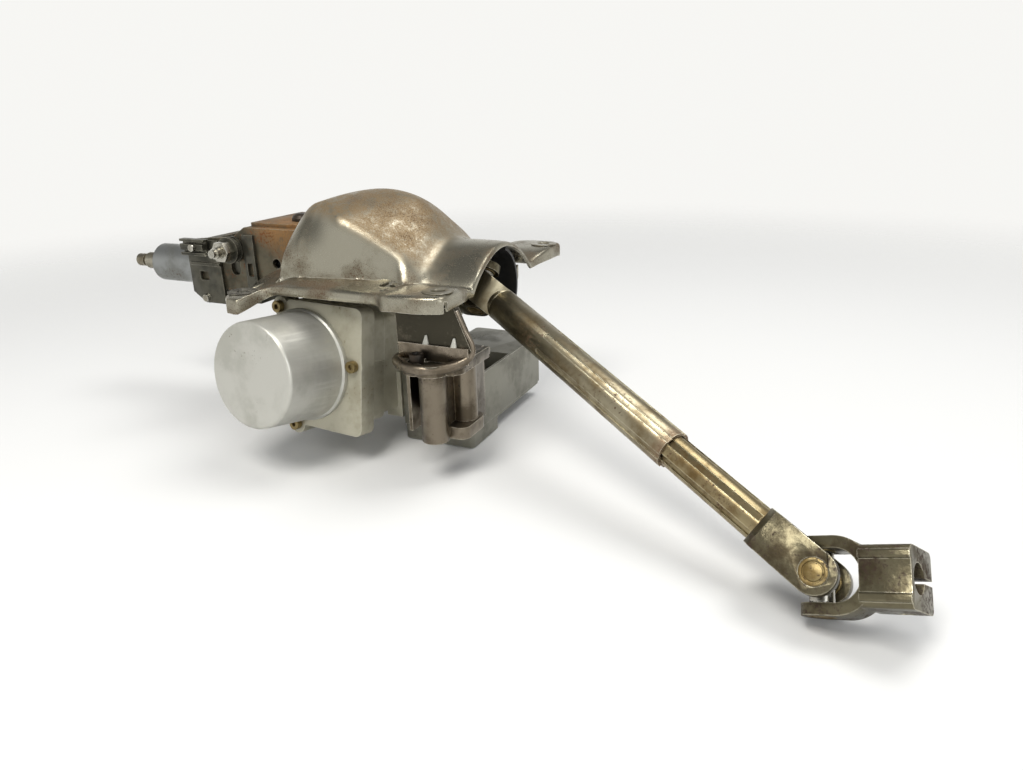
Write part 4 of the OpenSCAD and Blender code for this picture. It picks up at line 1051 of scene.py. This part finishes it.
@dataclass
class RakeClampTrim:
    """Stepped guides, pins and rivets at the rake clamp.

    Ranges along Y are distances from the middle plane. The strip is on the near side alone.
    """

    palette: Palette
    strip: tuple[Point, Point] = ((-232.2, -49.0, -34), (-220, -46.1, 21))
    window: tuple[Point, Point] = ((-229.5, -52, -17), (-223.5, -44, -5))
    plate_edge: float = 0.5
    jaw_x: Span = (-300, -264)
    jaw_y: Span = (51.1, 57.5)
    jaw_z: Span = (0.5, 15.5)
    groove_x: Span = (-302, -270)
    groove_y: Span = (53.5, 60)
    groove_feet: Span = (3.2, 11.0)
    groove_height: float = 2.2
    arc_x: float = -262
    arc_y: Span = (40, 70)
    arc_radius: float = 11
    pin_x: float = -284
    pin_y: Span = (51.2, 61)
    pin_z: float = 8
    pin_radius: float = 3.4
    pin_edge: float = 0.7
    rivet_y: Span = (51.05, 52.8)
    rivet_z: float = -41
    rivet_radius: float = 3.6
    rivet_edge: float = 1.0

    def build(self) -> None:
        """Models the trim on both sides of the channel."""
        strip = Bench.block("window_strip", *self.strip)
        Bench.cut(strip, Bench.block("strip_window", *self.window))
        self._dress(strip, Slot.GREY_PLATE, self.plate_edge)
        for word, side in SIDES.items():
            self._jaw(side, word)
            pin = self._cross_rod(f"guide_pin_{word}", side, self.pin_y, self.pin_z, self.pin_radius)
            self._dress(pin, Slot.BRIGHT_STEEL, self.pin_edge)
            rivet = self._cross_rod(
                f"guide_rivet_{word}", side, self.rivet_y, self.rivet_z, self.rivet_radius)
            self._dress(rivet, Slot.BRIGHT_STEEL, self.rivet_edge)

    def _dress(self, piece: Piece, slot: Slot, width: float) -> None:
        """Rounds, dresses and hangs a piece on the bracket.

        Args:
            piece: The piece.
            slot: Its material slot.
            width: Width of its rounded edges in millimetres.
        """
        Bench.round_edges(piece, width)
        self.palette.dress(piece, slot)
        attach(piece, "bracket")
        LOG.info("%s: %d faces", piece.name, len(piece.data.polygons))

    def _cross_rod(self, name: str, side: int, reach: Span, z: float, radius: float) -> Piece:
        """Models a rod that stands out from the channel at the pin's place.

        Args:
            name: Name of the rod.
            side: Side of the channel, -1 or 1.
            reach: Where it starts and ends along Y.
            z: Its height.
            radius: Its radius.

        Returns:
            The rod.
        """
        start, end = reach
        return Bench.rod(name, (self.pin_x, start * side, z), (self.pin_x, end * side, z), radius)

    @staticmethod
    def _box(name: str, side: int, x: Span, y: Span, z: Span) -> Piece:
        """Models a block from its ranges, with that along Y on one side of the channel."""
        near, far = sorted(side * edge for edge in y)
        return Bench.block(name, (x[0], near, z[0]), (x[1], far, z[1]))

    def _jaw(self, side: int, word: str) -> None:
        """Models the stepped guide jaw above the rake slot.

        Args:
            side: Side of the channel, -1 or 1.
            word: Name of the side.
        """
        jaw = self._box(f"guide_jaw_{word}", side, self.jaw_x, self.jaw_y, self.jaw_z)
        for foot in self.groove_feet:
            height = (foot, foot + self.groove_height)
            Bench.cut(jaw, self._box("jaw_groove", side, self.groove_x, self.groove_y, height))
        near, far = self.arc_y
        Bench.cut(jaw, Bench.rod("jaw_arc", (self.arc_x, near * side, self.pin_z),
                                 (self.arc_x, far * side, self.pin_z), self.arc_radius))
        self._dress(jaw, Slot.GREY_PLATE, self.plate_edge)


@dataclass
class CupFaces:
    """Bearing cups with a turned ring in each outer face."""

    # The joint whose pin each pair of cups carries.
    pins: dict[str, str] = field(default_factory=lambda: {
        "output_cups": "upper_yoke_swing",
        "tube_cups": "upper_shaft_swing",
        "shaft_cups": "lower_cross_swing",
        "clamp_cups": "lower_yoke_swing",
    })
    ring: Span = (5.2, 6.1)
    depth: float = 0.8
    clearance: float = 2.0
    edge: float = 0.3

    def build(self, frame: dict, palette: Palette) -> None:
        """Cuts the rings about the joints' pins and lets each pair stand for its solid.

        Args:
            palette: The materials.
        """
        bodies = bodies_by_node(frame)
        joints = {joint["name"]: joint for joint in frame["record"]["behaviour"]["joints"]}
        for node, pin in self.pins.items():
            piece = Bench.copy_of(frame["nodes"][node], f"{node}_turned")
            line = Vector(joints[pin]["axis"]).normalized()
            middle = Vector(joints[pin]["pos_m"]) / MM
            reach = max(abs((vertex.co / MM - middle).dot(line)) for vertex in piece.data.vertices)
            for out in (-line, line):
                start = middle + out * (reach - self.depth)
                end = middle + out * (reach + self.clearance)
                Bench.cut(piece, self._ring(start, end))
            Bench.round_edges(piece, self.edge)
            palette.dress(piece, Slot.BRASSY, node)
            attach(piece, bodies[node])
            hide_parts(node)
            LOG.info("%s: %d faces", piece.name, len(piece.data.polygons))

    def _ring(self, start: Vector, end: Vector) -> Piece:
        """Models the ring-shaped tool between two points on the cup's axis."""
        inner, outer = self.ring
        tool = Bench.rod("cup_ring", tuple(start), tuple(end), outer)
        past = (end - start) * 0.5
        Bench.cut(tool, Bench.rod("cup_core", tuple(start - past), tuple(end + past), inner))
        return tool


@dataclass
class SupportTrim:
    """Rolled rim, ledge and two nibs of the cast side support."""

    palette: Palette
    # Points of the rim's centre line, each with the rim's radius there.
    rim: tuple[tuple[float, float, float, float], ...] = (
        (-45, -50, -60.5, 4.3), (-45.5, -70, -60.5, 4.3), (-45.5, -88, -60.5, 4.3), (-43, -98, -60.5, 4.3),
        (-35, -105, -60.5, 4.3), (-26, -111, -60.5, 4.3), (-17, -113, -60.5, 4.3), (-7, -111, -60.5, 4.3),
        (3, -104, -60, 4.2), (12, -97, -57.5, 3.8), (19, -91.5, -52, 3.0), (20.5, -90.5, -47.5, 2.2),
        (14, -90.5, -32, 1.9), (7.5, -90.5, -18, 1.8))
    ledge: tuple[Point, Point] = ((-43, -95.4, -59), (19, -93.05, -45.6))
    ledge_edge: float = 0.8
    # Nibs: places along X, half width, ranges along Y and Z, size of the tip as a share, its lean, and edge.
    nib_places: Span = (-18.6, 6.0)
    nib_half: float = 2.6
    nib_y: Span = (-95.3, -93.1)
    nib_z: Span = (-46.2, -38.4)
    nib_tip: Span = (0.28, 0.7)
    nib_lean: float = 0.9
    nib_edge: float = 0.5

    def build(self) -> None:
        """Models the rim, the ledge and the nibs."""
        rim = Bench.bead("support_rim", self.rim)
        Bench.smooth(rim)
        self._dress(rim, Slot.SHINY_ALLOY)
        ledge = Bench.block("support_ledge", *self.ledge)
        Bench.round_edges(ledge, self.ledge_edge)
        self._dress(ledge, Slot.SHINY_ALLOY)
        self._nibs()

    def _dress(self, piece: Piece, slot: Slot) -> None:
        """Dresses a piece and hangs it on the column.

        Args:
            piece: The piece.
            slot: Its material slot.
        """
        self.palette.dress(piece, slot)
        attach(piece, "column")
        LOG.info("%s: %d faces", piece.name, len(piece.data.polygons))

    def _nibs(self) -> None:
        """Models the two pale nibs as fins that narrow to a leaning tip."""
        first, second = (self._fin(x) for x in self.nib_places)
        Bench.pick(first)
        second.select_set(True)
        bpy.ops.object.join()
        Bench.round_edges(first, self.nib_edge)
        self._dress(first, Slot.NYLON)
        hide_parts("support_clips")

    def _fin(self, x: float) -> Piece:
        """Models one fin.

        Args:
            x: Place of its middle along the part.

        Returns:
            The fin.
        """
        (near, far), (bottom, top) = self.nib_y, self.nib_z
        fin = Bench.block("support_nibs", (x - self.nib_half, near, bottom), (x + self.nib_half, far, top))
        Bench.pick(fin)
        bpy.ops.object.mode_set(mode="EDIT")
        bpy.ops.mesh.select_all(action="DESELECT")
        bpy.ops.object.mode_set(mode="OBJECT")
        for face in fin.data.polygons:
            face.select = face.normal.z > 0.9
        bpy.ops.object.mode_set(mode="EDIT")
        bpy.ops.transform.resize(value=(*self.nib_tip, 1))
        bpy.ops.transform.translate(value=(self.nib_lean * MM, 0, 0))
        bpy.ops.object.mode_set(mode="OBJECT")
        return fin


@dataclass(frozen=True)
class Lamp:
    """One square lamp of the studio, with its power in watts."""

    name: str
    place: Point
    size: float
    power: float
    colour: Colour

    def hang(self, aim: Vector) -> None:
        """Hangs the lamp so that it faces a point.

        Args:
            aim: The point.
        """
        data = bpy.data.lights.new(self.name, "AREA")
        data.shape = "SQUARE"
        data.size = self.size
        data.energy = self.power
        data.color = self.colour
        lamp = bpy.data.objects.new(self.name, data)
        lamp.location = self.place
        lamp.rotation_euler = (aim - Vector(self.place)).to_track_quat("-Z", "Y").to_euler()
        bpy.context.scene.collection.objects.link(lamp)


@dataclass
class Studio:
    """Camera, floor and light."""

    # The camera's place and two of its directions, as the photograph was taken, and its lens.
    eye: Point = (0.284, -0.590, 0.1318)
    right: Point = (0.91026, 0.41343, -0.02231)
    up: Point = (-0.12438, 0.32444, 0.93769)
    lens: float = 27.449
    sensor: float = 36
    clip: Span = (0.01, 50)
    # The floor lies under the part and fades out between two distances from its middle.
    floor_z: float = -0.158
    floor_size: float = 12
    floor_colour: Colour = (0.74, 0.74, 0.73)
    floor_rough: float = 0.8
    floor_fade: Span = (0.55, 1.7)
    aim: Point = (-0.05, -0.05, -0.05)
    lamps: tuple[Lamp, ...] = (
        Lamp("key_lamp", (-0.1, -1.05, 1.5), 0.8, 25, (1.0, 0.98, 0.94)),
        Lamp("top_lamp", (0.5, 0.5, 1.8), 1.0, 20, (1.0, 0.99, 0.97)),
        Lamp("fill_lamp", (1.6, -1.2, 0.9), 1.2, 10, (0.96, 0.98, 1.0)),
    )
    # The surround lights the part evenly, and is seen pale at the horizon and dark overhead.
    ambient: Colour = (0.9, 0.92, 0.95)
    ambient_strength: float = 0.45
    horizon: Colour = (0.93, 0.925, 0.90)
    overhead: Colour = (0.20, 0.20, 0.195)
    overhead_rise: Span = (0.22, 0.75)

    def build(self) -> None:
        """Sets the camera, floor, lamps and world."""
        self._camera()
        self._floor()
        for lamp in self.lamps:
            lamp.hang(Vector(self.aim))
        self._world()

    def _camera(self) -> None:
        """Places the camera where the photograph was taken."""
        data = bpy.data.cameras.new("camera")
        data.lens = self.lens
        data.sensor_width = self.sensor
        data.clip_start, data.clip_end = self.clip
        camera = bpy.data.objects.new("camera", data)
        right = Vector(self.right).normalized()
        up = (Vector(self.up) - Vector(self.up).dot(right) * right).normalized()
        back = right.cross(up)
        turn = Matrix((right, up, back)).transposed().to_4x4()
        camera.matrix_world = Matrix.Translation(self.eye) @ turn
        bpy.context.scene.collection.objects.link(camera)
        bpy.context.scene.camera = camera

    def _floor(self) -> None:
        """Lays a plain pale floor that fades into the surround far from the part."""
        Bench.clear()
        bpy.ops.mesh.primitive_plane_add(size=self.floor_size, location=(0, 0, self.floor_z))
        floor = bpy.context.object
        floor.name = "floor"
        material = bpy.data.materials.new("pale_floor")
        material.use_nodes = True
        graph = Graph(material.node_tree)
        shader = material.node_tree.nodes["Principled BSDF"]
        shader.inputs["Base Color"].default_value = (*self.floor_colour, 1)
        shader.inputs["Roughness"].default_value = self.floor_rough
        reach = graph.add("ShaderNodeVectorMath", operation="LENGTH")
        graph.join(graph.add("ShaderNodeTexCoord").outputs["Object"], reach.inputs[0])
        graph.join(graph.ramp(reach.outputs["Value"], *self.floor_fade, 1, 0), shader.inputs["Alpha"])
        floor.data.materials.append(material)

    def _world(self) -> None:
        """Sets a pale surround that metal reflects, darker overhead."""
        world = bpy.data.worlds.new("studio")
        bpy.context.scene.world = world
        world.use_nodes = True
        graph = Graph(world.node_tree)
        output = world.node_tree.nodes["World Output"]
        ambient = world.node_tree.nodes["Background"]
        ambient.inputs["Color"].default_value = (*self.ambient, 1)
        ambient.inputs["Strength"].default_value = self.ambient_strength
        shown = graph.add("ShaderNodeBackground")
        direction = graph.add("ShaderNodeTexCoord").outputs["Generated"]
        height = graph.add("ShaderNodeSeparateXYZ")
        graph.join(direction, height.inputs[0])
        shade = graph.ramp(height.outputs["Z"], *self.overhead_rise)
        graph.join(graph.mix(shade, self.horizon, self.overhead), shown.inputs["Color"])
        path = graph.add("ShaderNodeLightPath")
        seen = graph.math("ADD", path.outputs["Is Camera Ray"], path.outputs["Is Glossy Ray"])
        seen = graph.math("ADD", seen, path.outputs["Is Transmission Ray"], clamp=True)
        blend = graph.add("ShaderNodeMixShader")
        graph.join(seen, blend.inputs[0])
        graph.join(ambient.outputs[0], blend.inputs[1])
        graph.join(shown.outputs[0], blend.inputs[2])
        graph.join(blend.outputs[0], output.inputs["Surface"])


def main() -> None:
    """Builds the pieces in order and sets the studio."""
    logging.basicConfig(level=logging.INFO, format="%(name)s: %(message)s")
    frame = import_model()
    palette = Palette(Effects())
    palette.dress_frame(frame)
    SoftenedSolids().build(frame, palette)
    PressedSheet().build(frame, palette)
    CupFaces().build(frame, palette)
    RakeClampTrim(palette).build()
    SupportTrim(palette).build()
    Studio().build()
    bpy.context.scene.view_settings.view_transform = "Standard"


if __name__ == "__main__":
    main()
